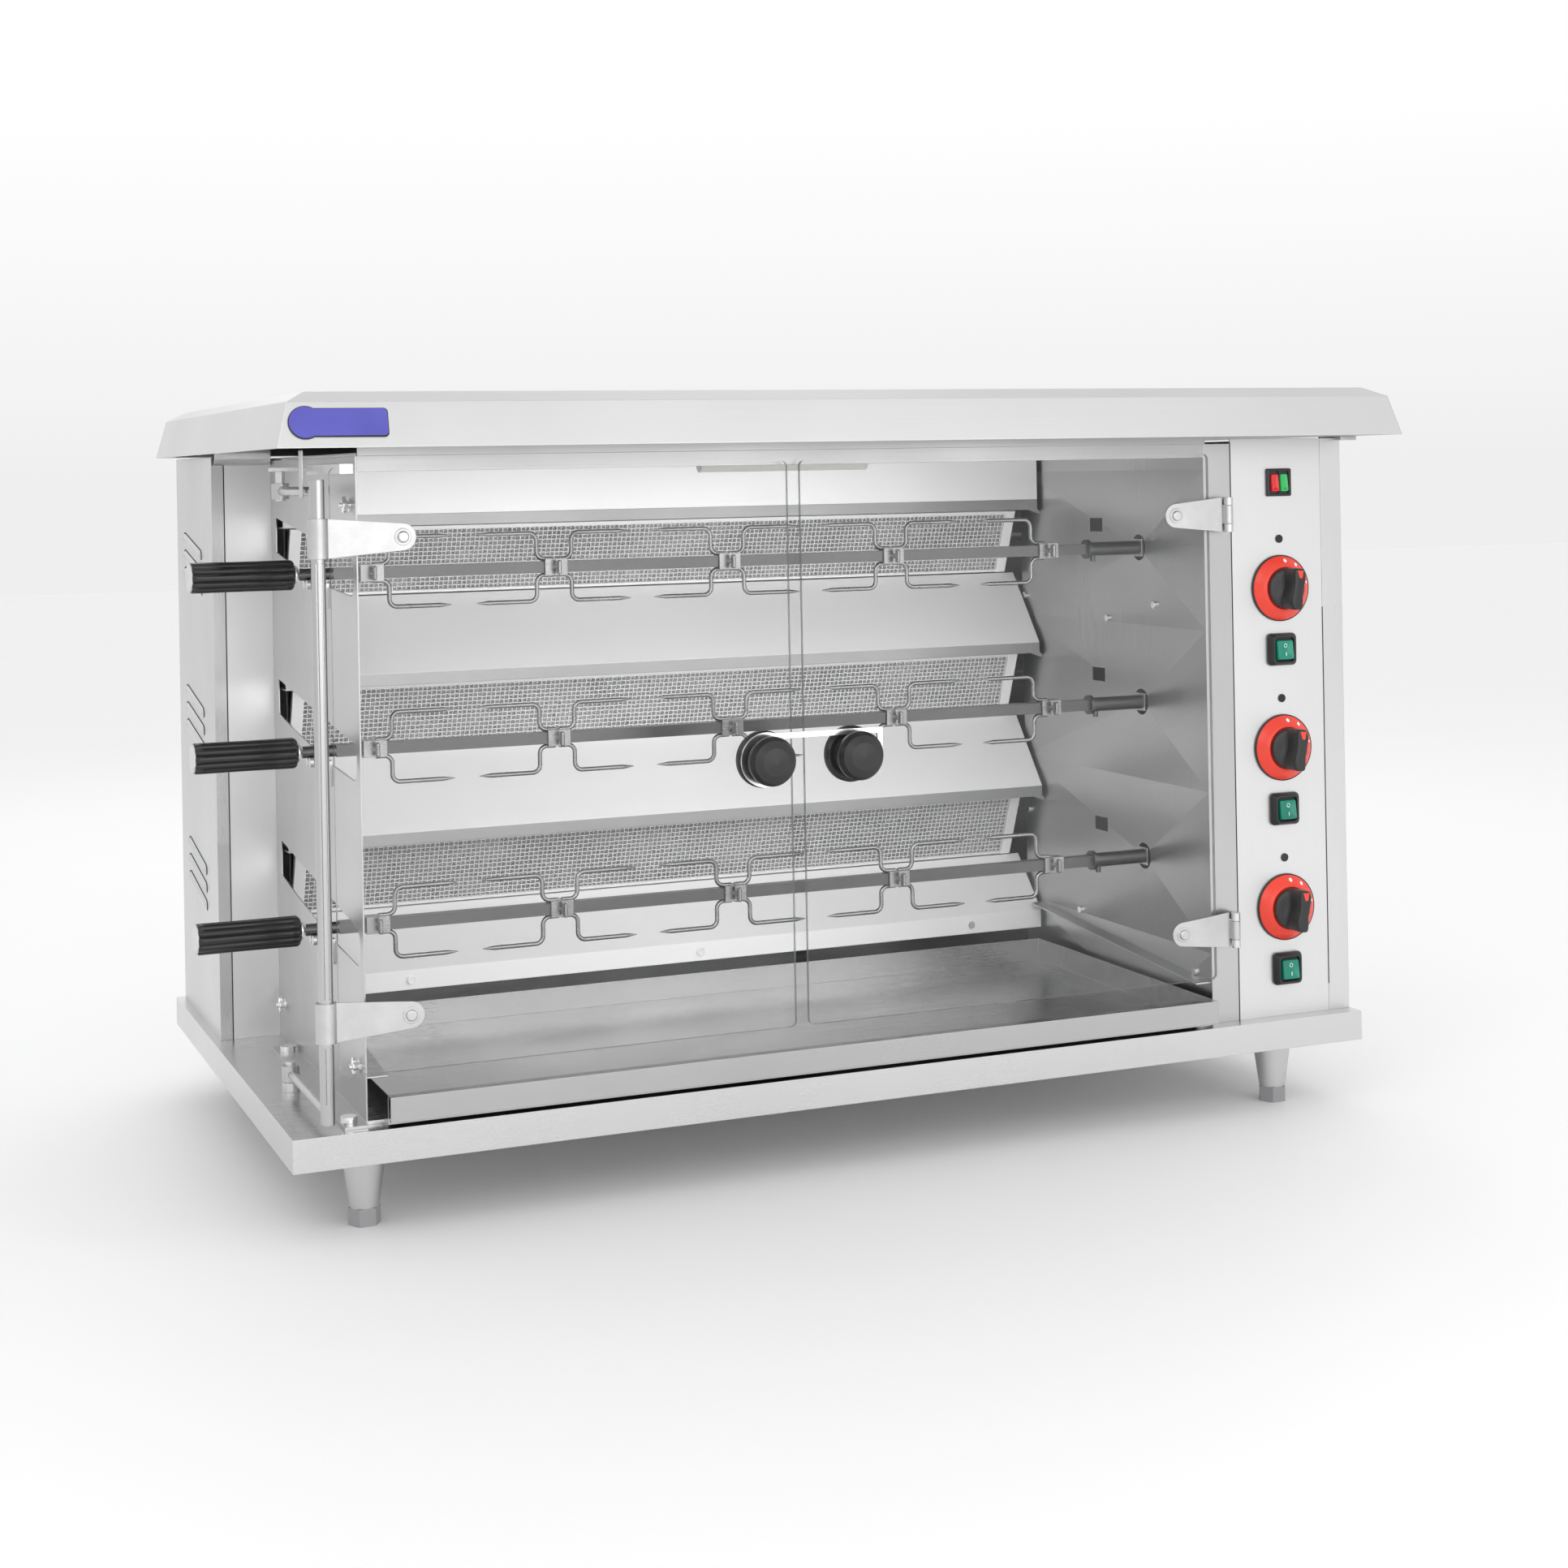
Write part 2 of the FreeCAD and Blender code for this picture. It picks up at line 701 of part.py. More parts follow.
def panel_fittings():
    lenses = []
    bezels = []
    valves = []
    frames = []
    for tier in range(3):
        height = tier_height(tier)
        knob = f"{height} - knob_below"
        lenses.append(fuse(
            cylinder("3.4", "9", "control_x", "panel_front", f"{height} + lens_above", "y"),
            cylinder("4.6", "1", "control_x", "panel_front - 1", f"{height} + lens_above", "y")))
        ring = fuse(
            cylinder("37", "3", "control_x", "panel_front - 3", knob, "y"),
            cone("25", "35", "9", "control_x", "panel_front - 12", knob, "y"))
        bezels.append(cut(ring, cylinder("6", "20", "control_x", "panel_front - 15", knob, "y")))
        valve = fuse(
            cylinder("14", "20", "control_x", "panel_front + sheet_gauge", knob, "y"),
            span("control_x - 16", "control_x + 16", "panel_front + 16", "panel_front + 52",
                 f"{knob} - 24", f"{knob} + 14"))
        way = cylinder("stem_radius + running", "24", "control_x", "panel_front", knob, "y")
        valves.append(cut(valve, way))
        middle = f"{height} - rocker_below"
        boot = fuse(
            span("control_x - 18.5", "control_x + 18.5", "panel_front - 9", "panel_front",
                 f"{middle} - 18", f"{middle} + 18"),
            span("control_x - 13", "control_x + 13", "panel_front", "panel_front + 26",
                 f"{middle} - 14", f"{middle} + 14"))
        well = span("control_x - 11.5", "control_x + 11.5", "panel_front - 10", "panel_front + 10",
                    f"{middle} - 13", f"{middle} + 13")
        frames.append(cut(boot, well))
    middle = f"{tier_height(2)} + twin_above"
    surround = fuse(
        span("control_x - 16", "control_x + 16", "panel_front - 3", "panel_front",
             f"{middle} - 15.5", f"{middle} + 15.5"),
        span("control_x - 12.5", "control_x + 12.5", "panel_front", "panel_front + 26",
             f"{middle} - 13", f"{middle} + 13"))
    wells = [span(f"control_x + {left}", f"control_x + {left} + 11.2", "panel_front - 4",
                  "panel_front + 10", f"{middle} - 12.3", f"{middle} + 12.3") for left in ("(-11.6)", "0.4")]
    frames.append(cut(surround, *wells))
    node("panel_lenses", group(lenses))
    node("knob_bezels", group(bezels))
    node("gas_valves", group(valves))
    node("switch_frames", group(frames))


def rocker(label, x, height, width, tall, proud):
    """A rocker cap, tipped to its off side, on an axis along X."""
    tip = 7
    cap = Part.makeBox(width, proud + 5, tall, FreeCAD.Vector(-width / 2, -proud, -tall / 2))
    front = [edge for edge in cap.Edges
             if max(vertex.Y for vertex in edge.Vertexes) < 0.01 - proud]
    cap = cap.makeFillet(1, front)
    turn = FreeCAD.Rotation(FreeCAD.Vector(1, 0, 0), tip)
    cap.Placement = FreeCAD.Placement(vector(x, "panel_front", height), turn)
    feature(label, cap)


def rockers():
    for tier, name in enumerate(TIERS):
        rocker(f"rocker_{name}", "control_x", f"{tier_height(tier)} - rocker_below", 21, 22, 11)
    middle = f"{tier_height(2)} + twin_above"
    rocker("rocker_light", "control_x - 6", middle, 10, 21, 5)
    rocker("rocker_heat", "control_x + 6", middle, 10, 21, 5)


def control_knobs():
    """Knobs with a dished skirt and a grip bar across it."""
    slant = 4
    grip_width = 13
    grip_length = 48
    turn = math.radians(slant)
    away_x = -grip_width / 2 * math.cos(turn) - grip_length / 2 * math.sin(turn)
    away_z = grip_width / 2 * math.sin(turn) - grip_length / 2 * math.cos(turn)
    for tier, name in enumerate(TIERS):
        height = f"{tier_height(tier)} - knob_below"
        front = "(panel_front - 12 - gap)"
        skirt = cone("20", "23", "8", "control_x", f"{front} - 8", height, "y")
        grip = doc.addObject("Part::Box", fresh("grip"))
        tilt = FreeCAD.Rotation(FreeCAD.Vector(0, 1, 0), slant)
        grip.Placement = FreeCAD.Placement(FreeCAD.Vector(), tilt)
        bind(grip, Length=grip_width, Width="20", Height=grip_length)
        put(grip, f"control_x + ({away_x:.3f})", f"{front} - 26", f"{height} + ({away_z:.3f})")
        stem = cylinder("stem_radius", "34", "control_x", f"{front} - 1", height, "y")
        node(f"control_knob_{name}", fuse(skirt, grip, stem))


# ---------------------------------------------------------------- drives and spits

def drives():
    motors = []
    outer = "wall_right + sheet_gauge"
    for tier in range(3):
        height = tier_height(tier)
        gearbox = span("wall_right + 23", "wall_right + 62", "spit_depth - 32", "spit_depth + 32",
                       f"{height} - 32", f"{height} + 32")
        motor = cylinder("26", "50", "wall_right + 62", "spit_depth", height, "x")
        feet_pieces = [cylinder("4", f"wall_right + 23 - ({outer})", outer, f"spit_depth + ({dy})",
                                f"{height} + ({dz})", "x") for dy in (-25, 25) for dz in (-25, 25)]
        bore = cylinder("shaft_radius + running", "21", "wall_right + 20", "spit_depth", height, "x")
        motors.append(cut(fuse(gearbox, motor, *feet_pieces), bore))
    node("spit_motors", group(motors))


def prong(root_x, side, up):
    """One bent rod of a fork: along the hub, out from the bar, then along it to a point."""
    radius = number("prong_radius")
    bend = number("prong_bend")
    reach = number("prong_reach")
    offset = number("prong_offset")
    start = number("bar_side / 2 + hub_wall")
    riser = 7
    spike = 12
    middle = bend * (1 - math.sqrt(0.5))

    def point(along, out):
        return FreeCAD.Vector(root_x + side * along, 0, up * out)

    foot = point(-10, start)
    tip = point(reach - spike, offset)
    low_in = point(riser - bend, start)
    low_out = point(riser, start + bend)
    high_in = point(riser, offset - bend)
    high_out = point(riser + bend, offset)
    path = Part.Wire([
        Part.LineSegment(foot, low_in).toShape(),
        Part.Arc(low_in, point(riser - middle, start + middle), low_out).toShape(),
        Part.LineSegment(low_out, high_in).toShape(),
        Part.Arc(high_in, point(riser + middle, offset - middle), high_out).toShape(),
        Part.LineSegment(high_out, tip).toShape(),
    ])
    section = Part.Wire(Part.makeCircle(radius, foot, FreeCAD.Vector(side, 0, 0)))
    rod = path.makePipeShell([section], True, False)
    return rod.fuse(Part.makeCone(radius, 0.4, spike, tip, FreeCAD.Vector(side, 0, 0)))


def fork(x, sides):
    """A clamp on the bar, with a pair of prongs for each side and a wing screw in front."""
    half = number("bar_side / 2")
    outer = 2 * number("bar_side / 2 + hub_wall")
    length = number("hub_length")
    hub = Part.makeBox(length, outer, outer, FreeCAD.Vector(x - length / 2, -outer / 2, -outer / 2))
    prongs = [prong(x + side * length / 2, side, up) for side in sides for up in (1, -1)]
    screw = Part.makeCylinder(2.5, 8, FreeCAD.Vector(x, 1 - outer / 2, 0), FreeCAD.Vector(0, -1, 0))
    wing = Part.makeBox(4, 8, 15, FreeCAD.Vector(x - 2, -outer / 2 - 13, -7.5))
    wing = wing.makeFillet(1.8, wing.Edges)
    channel = Part.makeBox(length + 2, 2 * half, 2 * half,
                           FreeCAD.Vector(x - length / 2 - 1, -half, -half))
    return hub.fuse(prongs + [screw, wing]).cut(channel).removeSplitter()


def fork_set():
    """Five clamps along one spit: single prongs at the ends, double ones between."""
    forks = []
    for index in range(5):
        sides = (1,) if index == 0 else (-1,) if index == 4 else (-1, 1)
        forks.append(fork(number(f"fork_first + {index} * fork_pitch"), sides))
    return Part.makeCompound(forks)


def square(low, high, height, side="bar_side"):
    """A square bar along a spit's axis."""
    return span(low, high, f"spit_depth - {side} / 2", f"spit_depth + {side} / 2",
                f"{height} - {side} / 2", f"{height} + {side} / 2")


def spits():
    forks = fork_set()
    for tier, name in enumerate(TIERS):
        height = tier_height(tier)
        node(f"spit_bar_{name}", fuse(
            square("handle_left + 12", "handle_right + 1", height),
            cylinder("bar_side / 2", "wall_left + 6 - handle_right", "handle_right", "spit_depth",
                     height, "x"),
            square("wall_left + 5", "sleeve_left + 4", height),
            cylinder("sleeve_radius", "wall_right + 14 - sleeve_left", "sleeve_left", "spit_depth",
                     height, "x"),
            cylinder("sleeve_radius + 3", "4", "sleeve_left", "spit_depth", height, "x"),
            cylinder("3", "9", "sleeve_left + 10", "spit_depth", f"{height} - sleeve_radius - 6")))

        grip = cylinder("handle_radius", "handle_right - handle_left", "handle_left",
                        "spit_depth", height, "x")
        flutes = []
        for turn in range(10):
            angle = math.radians(36 * turn)
            flutes.append(cylinder(
                "2.4", "handle_right - handle_left", "handle_left",
                f"spit_depth + (handle_radius + 0.6) * ({math.cos(angle):.5f})",
                f"{height} + (handle_radius + 0.6) * ({math.sin(angle):.5f})", "x"))
        core = square("handle_left + 12", "handle_right + 1", height)
        cap = cylinder("handle_radius - 2", "2.5", "handle_left - 2", "spit_depth", height, "x")
        node(f"spit_handle_{name}", fuse(cut(grip, core, *flutes), cap))

        feature(f"spit_forks_{name}",
                forks.translated(FreeCAD.Vector(0, number("spit_depth"), number(height))))

        block = square("wall_right - 2", "wall_right + 18", height, "coupling_side")
        shaft = cylinder("shaft_radius", "22", "wall_right + 17", "spit_depth", height, "x")
        socket = cylinder("sleeve_radius + running", "16.1", "wall_right - 2", "spit_depth", height, "x")
        node(f"drive_coupling_{name}", cut(fuse(block, shaft), socket))


def spit_rests():
    """A tab under each slot, with two rollers that the round neck of the spit turns on."""
    rests = []
    face = "wall_left - sheet_gauge"
    for tier in range(3):
        height = tier_height(tier)
        tab = span(f"{face} - 3", face, "spit_depth - 15", "spit_depth + 15",
                   f"{height} - 34", f"{height} - rest_drop + 1")
        rollers = [cylinder("rest_radius", "19", f"{face} - 21", f"spit_depth + ({along})",
                            f"{height} - rest_drop", "x")
                   for along in ("-rest_spread", "rest_spread")]
        rests.append(fuse(tab, *rollers))
    node("spit_rests", group(rests))


# ---------------------------------------------------------------- doors

def door_glass(side, left, right):
    """A clear pane with rounded corners and a hole for its knob's stem."""
    back = "-(glass_front + glass_gauge)"
    body = plate("xz", back, "glass_gauge", rectangle(left, right, "glass_low", "glass_high"))
    round_edges(body, "6", FreeCAD.Vector(0, 1, 0))
    middle = "-(glass_front + glass_gauge / 2)"
    pierce(body, circle(sketch_on(body, "xz", middle), f"knob_{side}_x", "knob_height", "5.4"))
    node(f"door_glass_{side}", body)


def blade(toward, reach, start):
    """A tapered hinge leaf with a round free end, drawn from its hinge axis."""
    half = number("leaf_half")
    tip = number("leaf_tip")
    centre = reach - tip
    lean = math.atan((half - tip) / (centre - start))
    corners = {}
    for sign in (1, -1):
        corners[sign] = (
            FreeCAD.Vector(toward * start, 0, sign * half),
            FreeCAD.Vector(toward * (centre + tip * math.sin(lean)), 0, sign * tip * math.cos(lean)))
    end = FreeCAD.Vector(toward * reach, 0, 0)
    outline = Part.Wire([
        Part.LineSegment(*corners[1]).toShape(),
        Part.Arc(corners[1][1], end, corners[-1][1]).toShape(),
        Part.LineSegment(corners[-1][1], corners[-1][0]).toShape(),
        Part.LineSegment(corners[-1][0], corners[1][0]).toShape(),
    ])
    return Part.Face(outline).extrude(FreeCAD.Vector(0, number("leaf_gauge"), 0))


def leaf_bolt(x, height):
    """A dome-headed bolt through a leaf and its washer."""
    front = number("glass_front - leaf_gauge")
    washer = Part.makeCylinder(8, 1, FreeCAD.Vector(x, front - 1, height), FreeCAD.Vector(0, 1, 0))
    head = Part.makeCylinder(5.5, 3, FreeCAD.Vector(x, front - 4, height), FreeCAD.Vector(0, 1, 0))
    crown = [edge for edge in head.Edges if edge.BoundBox.YMax < front - 3.9]
    return washer.fuse(head.makeFillet(1.6, crown)).removeSplitter()


def leaves_left():
    """Two leaves with barrels that turn on the swing post."""
    front = number("glass_front - leaf_gauge")
    half = number("leaf_half")
    pieces = []
    for z in ("leaf_low", "leaf_high"):
        height = number(z)
        reach = number("left_leaf_reach")
        leaf = blade(1, reach, number("post_radius"))
        leaf.translate(FreeCAD.Vector(number("post_x"), front, height))
        foot = vector("post_x", "post_y", f"{z} - leaf_half")
        barrel = Part.makeCylinder(number("barrel_radius"), 2 * half, foot)
        way = Part.makeCylinder(number("post_radius + running"), 2 * half, foot)
        pieces.append(leaf.fuse(barrel).cut(way).removeSplitter())
        pieces.append(leaf_bolt(number("post_x") + reach - number("leaf_tip"), height))
    feature("hinge_leaves_left", Part.makeCompound(pieces))


def leaves_right():
    """Two leaves with a middle knuckle each, that turn on the pins of their brackets."""
    front = number("glass_front - leaf_gauge")
    tall = number("knuckle_height")
    radius = number("knuckle_radius")
    pieces = []
    for z in ("leaf_low", "leaf_high"):
        height = number(z)
        axis = vector("right_axis_x", "right_axis_y", z)
        reach = number("right_leaf_reach")
        leaf = blade(-1, reach, radius + 1)
        leaf.translate(FreeCAD.Vector(axis.x, front, height))
        foot = axis - FreeCAD.Vector(0, 0, tall / 2)
        knuckle = Part.makeCylinder(radius, tall, foot)
        strap = Part.makeBox(radius + 2, number("leaf_gauge"), tall,
                             FreeCAD.Vector(axis.x - radius - 2, front, foot.z))
        way = Part.makeCylinder(number("pin_radius + running"), tall, foot)
        pieces.append(leaf.fuse([knuckle, strap]).cut(way).removeSplitter())
        pieces.append(leaf_bolt(axis.x - reach + number("leaf_tip"), height))
    feature("hinge_leaves_right", Part.makeCompound(pieces))


def hinge_bracket(axis):
    """The two outer knuckles and the pin of one right-hand hinge, on a plate on the jamb."""
    radius = number("knuckle_radius")
    tall = number("knuckle_height")
    end = number("leaf_half") - tall / 2 - number("gap")
    depth = number("wall_front") - axis.y
    pieces = []
    for low in (tall / 2 + number("gap"), -number("leaf_half")):
        foot = axis + FreeCAD.Vector(0, 0, low)
        pieces.append(Part.makeCylinder(radius, end, foot))
        pieces.append(Part.makeBox(radius, depth, end, foot))
    plate_foot = axis + FreeCAD.Vector(0, depth - 2, -number("leaf_half"))
    pieces.append(Part.makeBox(radius, 2, 2 * number("leaf_half"), plate_foot))
    pin = Part.makeCylinder(number("pin_radius"), 2 * number("leaf_half"),
                            axis - FreeCAD.Vector(0, 0, number("leaf_half")))
    return pin.fuse(pieces).removeSplitter()


KNOB = [  # distance from the glass, and radius, of a door knob
    (0, 0), (0, 29), (5, 29), (8, 26), (8, 20), (20, 20), (21, 23.5), (24, 25), (29, 25),
    (35, 21.5), (38.5, 14), (40, 0),
]


def door_knobs():
    for side in ("left", "right"):
        front = vector(f"knob_{side}_x", "glass_front", "knob_height")
        points = [front + FreeCAD.Vector(radius, -along, 0) for along, radius in KNOB]
        profile = Part.Face(Part.makePolygon(points + points[:1]))
        knob = profile.revolve(front, FreeCAD.Vector(0, 1, 0), 360)
        rear = FreeCAD.Vector(0, 1, 0)
        stem = Part.makeCylinder(5, number("glass_gauge") + 5, front - rear, rear)
        nut = Part.makeCylinder(9, 3, front + rear * number("glass_gauge"), rear)
        feature(f"door_knob_{side}", knob.fuse([stem, nut]).removeSplitter())


def latch():
    """A flat hook that turns on the left knob's neck and drops over the right one's."""
    thickness = 2
    ring_width = 8
    strip_height = 6
    tail_drop = 26
    neck = number("neck_radius")
    pitch = number("knob_right_x - knob_left_x")
    low = neck + 0.6
    ring = Part.makeCylinder(neck + ring_width, thickness)
    strip = Part.makeBox(pitch + neck + 12, strip_height, thickness, FreeCAD.Vector(0, low, 0))
    tail = Part.makeBox(strip_height, tail_drop, thickness,
                        FreeCAD.Vector(pitch + neck + 6, low + strip_height - tail_drop, 0))
    shape = ring.fuse([strip, tail])
    shape = shape.cut(Part.makeCylinder(neck + number("running"), thickness)).removeSplitter()
    turn = FreeCAD.Rotation(FreeCAD.Vector(1, 0, 0), 90)
    shape.Placement = FreeCAD.Placement(vector("knob_left_x", "glass_front - 11", "knob_height"), turn)
    feature("door_latch", shape)


# ---------------------------------------------------------------- swing frame

def swing_frame():
    """A grooved post with an arm at each end that reaches back to an eye."""
    post = cylinder("post_radius", "post_high - post_low", "post_x", "post_y", "post_low")
    front = "post_y - post_radius - 1"
    stretches = [("arm_low + 10", "leaf_low - leaf_half - 4"),
                 ("leaf_low + leaf_half + 4", "leaf_high - leaf_half - 4")]
    grooves = [span(f"post_x + ({x}) - 0.75", f"post_x + ({x}) + 0.75", front, f"{front} + 3", low, high)
               for x in (-2.5, 2.5) for low, high in stretches]
    frame = [cut(post, *grooves)]
    ways = []
    for z in ("arm_low", "arm_high"):
        frame.append(cylinder("arm_radius", "pivot_y - post_y", "post_x", "post_y", z, "y"))
        frame.append(cylinder("9", "16", "post_x", "pivot_y", f"{z} - 8"))
        ways.append(cylinder("pivot_radius + running", "20", "post_x", "pivot_y", f"{z} - 10"))
    node("swing_frame", cut(fuse(*frame), *ways))


def door_brackets():
    """The right door's brackets, and the two pivot pins that the swing frame turns on.

    The lower pin stands on the deck and the upper one hangs from a strap on the left wall.
    """
    face = "wall_left - sheet_gauge"
    lower = fuse(
        cylinder("pivot_radius", "arm_low + 12 - deck_height", "post_x", "pivot_y", "deck_height"),
        cylinder("9", "arm_low - 8 - gap - deck_height", "post_x", "pivot_y", "deck_height"))
    strap = "arm_high + 20"
    upper = fuse(
        cylinder("pivot_radius", "32", "post_x", "pivot_y", "arm_high - 10"),
        span("post_x - 10", face, "pivot_y - 10", "pivot_y + 10", strap, f"{strap} + 4"))
    rail = span(f"{face} - 14", face, "wall_front + 4", "pivot_y - 10", f"{strap} - 4", f"{strap} + 6")
    hinges = []
    for z in ("leaf_low", "leaf_high"):
        hinge = doc.addObject("Part::Feature", fresh("hinge"))
        hinge.Shape = hinge_bracket(vector("right_axis_x", "right_axis_y", z))
        hinges.append(hinge)
    node("door_brackets", group([lower, upper, rail] + hinges))


# ---------------------------------------------------------------- drip tray

def drip_tray():
    g = "panel_gauge"
    front = "tray_front"
    pan = cut(
        span("tray_left", "tray_right", front, "tray_back", "tray_low", "tray_rim"),
        span(f"tray_left + {g}", f"tray_right - {g}", f"{front} + {g}", f"tray_back - {g}",
             f"tray_low + {g}", "tray_rim + 1"))
    lip = plate("yz", "tray_left", "tray_right - tray_left", [
        (front, "tray_rim"), (f"{front} - 11", "tray_rim"), (f"{front} - 11", "tray_low + 4"),
        (f"{front} - 5", "tray_low + 4"), (f"{front} - 5", f"tray_low + 4 + {g}"),
        (f"{front} - 11 + {g}", f"tray_low + 4 + {g}"), (f"{front} - 11 + {g}", f"tray_rim - {g}"),
        (front, f"tray_rim - {g}")])
    node("drip_tray", fuse(pan, lip))


def tray_rails():
    """Low strips that the tray slides on, and sloping drip guides above its edges."""
    rails = []
    for low, high in (("wall_left", "tray_left + 6"), ("tray_right - 6", "wall_right")):
        rails.append(span(low, high, "wall_front + 4", "402", "deck_height", "tray_low - gap"))
        rails.append(plate("yz", low, f"({high}) - ({low})", [
            ("wall_front + 4", "148"), ("402", "178"), ("402", "179.5"), ("wall_front + 4", "149.5")]))
    node("tray_rails", group(rails))


# ---------------------------------------------------------------- fasteners

WALL_SCREWS = [  # depth and height of each screw in the right wall
    ("437", "711"), ("437", "560"), ("437", "500"), ("437", "291"),
    ("54", "156"), ("310", "184"), ("127", "561"), ("233", "541"),
]


def screws():
    """Dome bolts on the wall's foot, and the screw heads inside the chamber."""
    heads = [cylinder("8", "6", x, y, "deck_height + 3") for x, y in (("60", "31"), ("64", "348"))]
    for y, z in WALL_SCREWS:
        heads.append(cylinder("4", "2.5", "wall_right - 2.5", y, z, "x"))
    for x in ("214", "560", "916"):
        heads.append(cylinder("4.5", "2.5", x, "splash_front - 2.5", "(splash_low + splash_high) / 2", "y"))
    node("chamber_screws", group(heads))


def check_and_export():
    doc.recompute()
    for obj in doc.Objects:
        if "Invalid" in obj.State or "Error" in obj.State:
            raise RuntimeError(f"{obj.Name} is in state {obj.State}")
    labels = [obj.Label for obj in nodes]
    if len(set(labels)) != len(labels):
        raise RuntimeError("two sub-parts share a label")
    for obj in nodes:
        if obj.Shape.isNull() or not obj.Shape.isValid():
            raise RuntimeError(f"{obj.Label} has no valid shape")
    os.makedirs("parts", exist_ok=True)
    whole = FreeCAD.BoundBox()
    for obj in nodes:
        whole.add(obj.Shape.BoundBox)
        obj.Shape.exportStep(f"parts/{obj.Label}.step")
    print(f"{len(nodes)} sub-parts, {whole}")


base_tray()
feet()
roof()
badge()
header()
left_wall()
right_wall()
reflectors()
burners()
rear_compartment()
gas_line()
cabinet()
panel_fittings()
rockers()
control_knobs()
drives()
spits()
spit_rests()
door_glass("left", "glass_left", "glass_middle_left")
door_glass("right", "glass_middle_right", "glass_right")
leaves_left()
leaves_right()
door_knobs()
latch()
swing_frame()
door_brackets()
drip_tray()
tray_rails()
screws()
check_and_export()
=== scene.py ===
"""Looks of the rotisserie oven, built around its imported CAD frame. Metres; +X right, -Y front, +Z up."""

import math
import random

import bmesh
import bpy
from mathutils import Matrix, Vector


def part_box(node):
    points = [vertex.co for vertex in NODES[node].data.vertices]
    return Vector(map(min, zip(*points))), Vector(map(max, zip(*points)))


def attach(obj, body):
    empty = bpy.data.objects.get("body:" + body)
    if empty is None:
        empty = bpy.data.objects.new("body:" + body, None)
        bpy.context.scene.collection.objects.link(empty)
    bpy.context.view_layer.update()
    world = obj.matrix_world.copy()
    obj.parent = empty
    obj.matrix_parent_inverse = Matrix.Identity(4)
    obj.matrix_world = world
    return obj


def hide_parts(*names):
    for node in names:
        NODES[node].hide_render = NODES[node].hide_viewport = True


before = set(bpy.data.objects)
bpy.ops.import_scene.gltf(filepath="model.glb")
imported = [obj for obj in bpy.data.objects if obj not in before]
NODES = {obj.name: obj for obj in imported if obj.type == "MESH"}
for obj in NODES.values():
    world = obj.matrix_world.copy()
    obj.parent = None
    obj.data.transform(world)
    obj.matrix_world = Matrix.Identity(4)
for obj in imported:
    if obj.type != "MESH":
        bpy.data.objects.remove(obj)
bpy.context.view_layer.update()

MM = 0.001
TIERS = ("lower", "middle", "upper")


def middle_of(node):
    low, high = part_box(node)
    return (low + high) / 2


PITCH = middle_of("spit_bar_middle").z - middle_of("spit_bar_lower").z


# ---------------------------------------------------------------- node materials

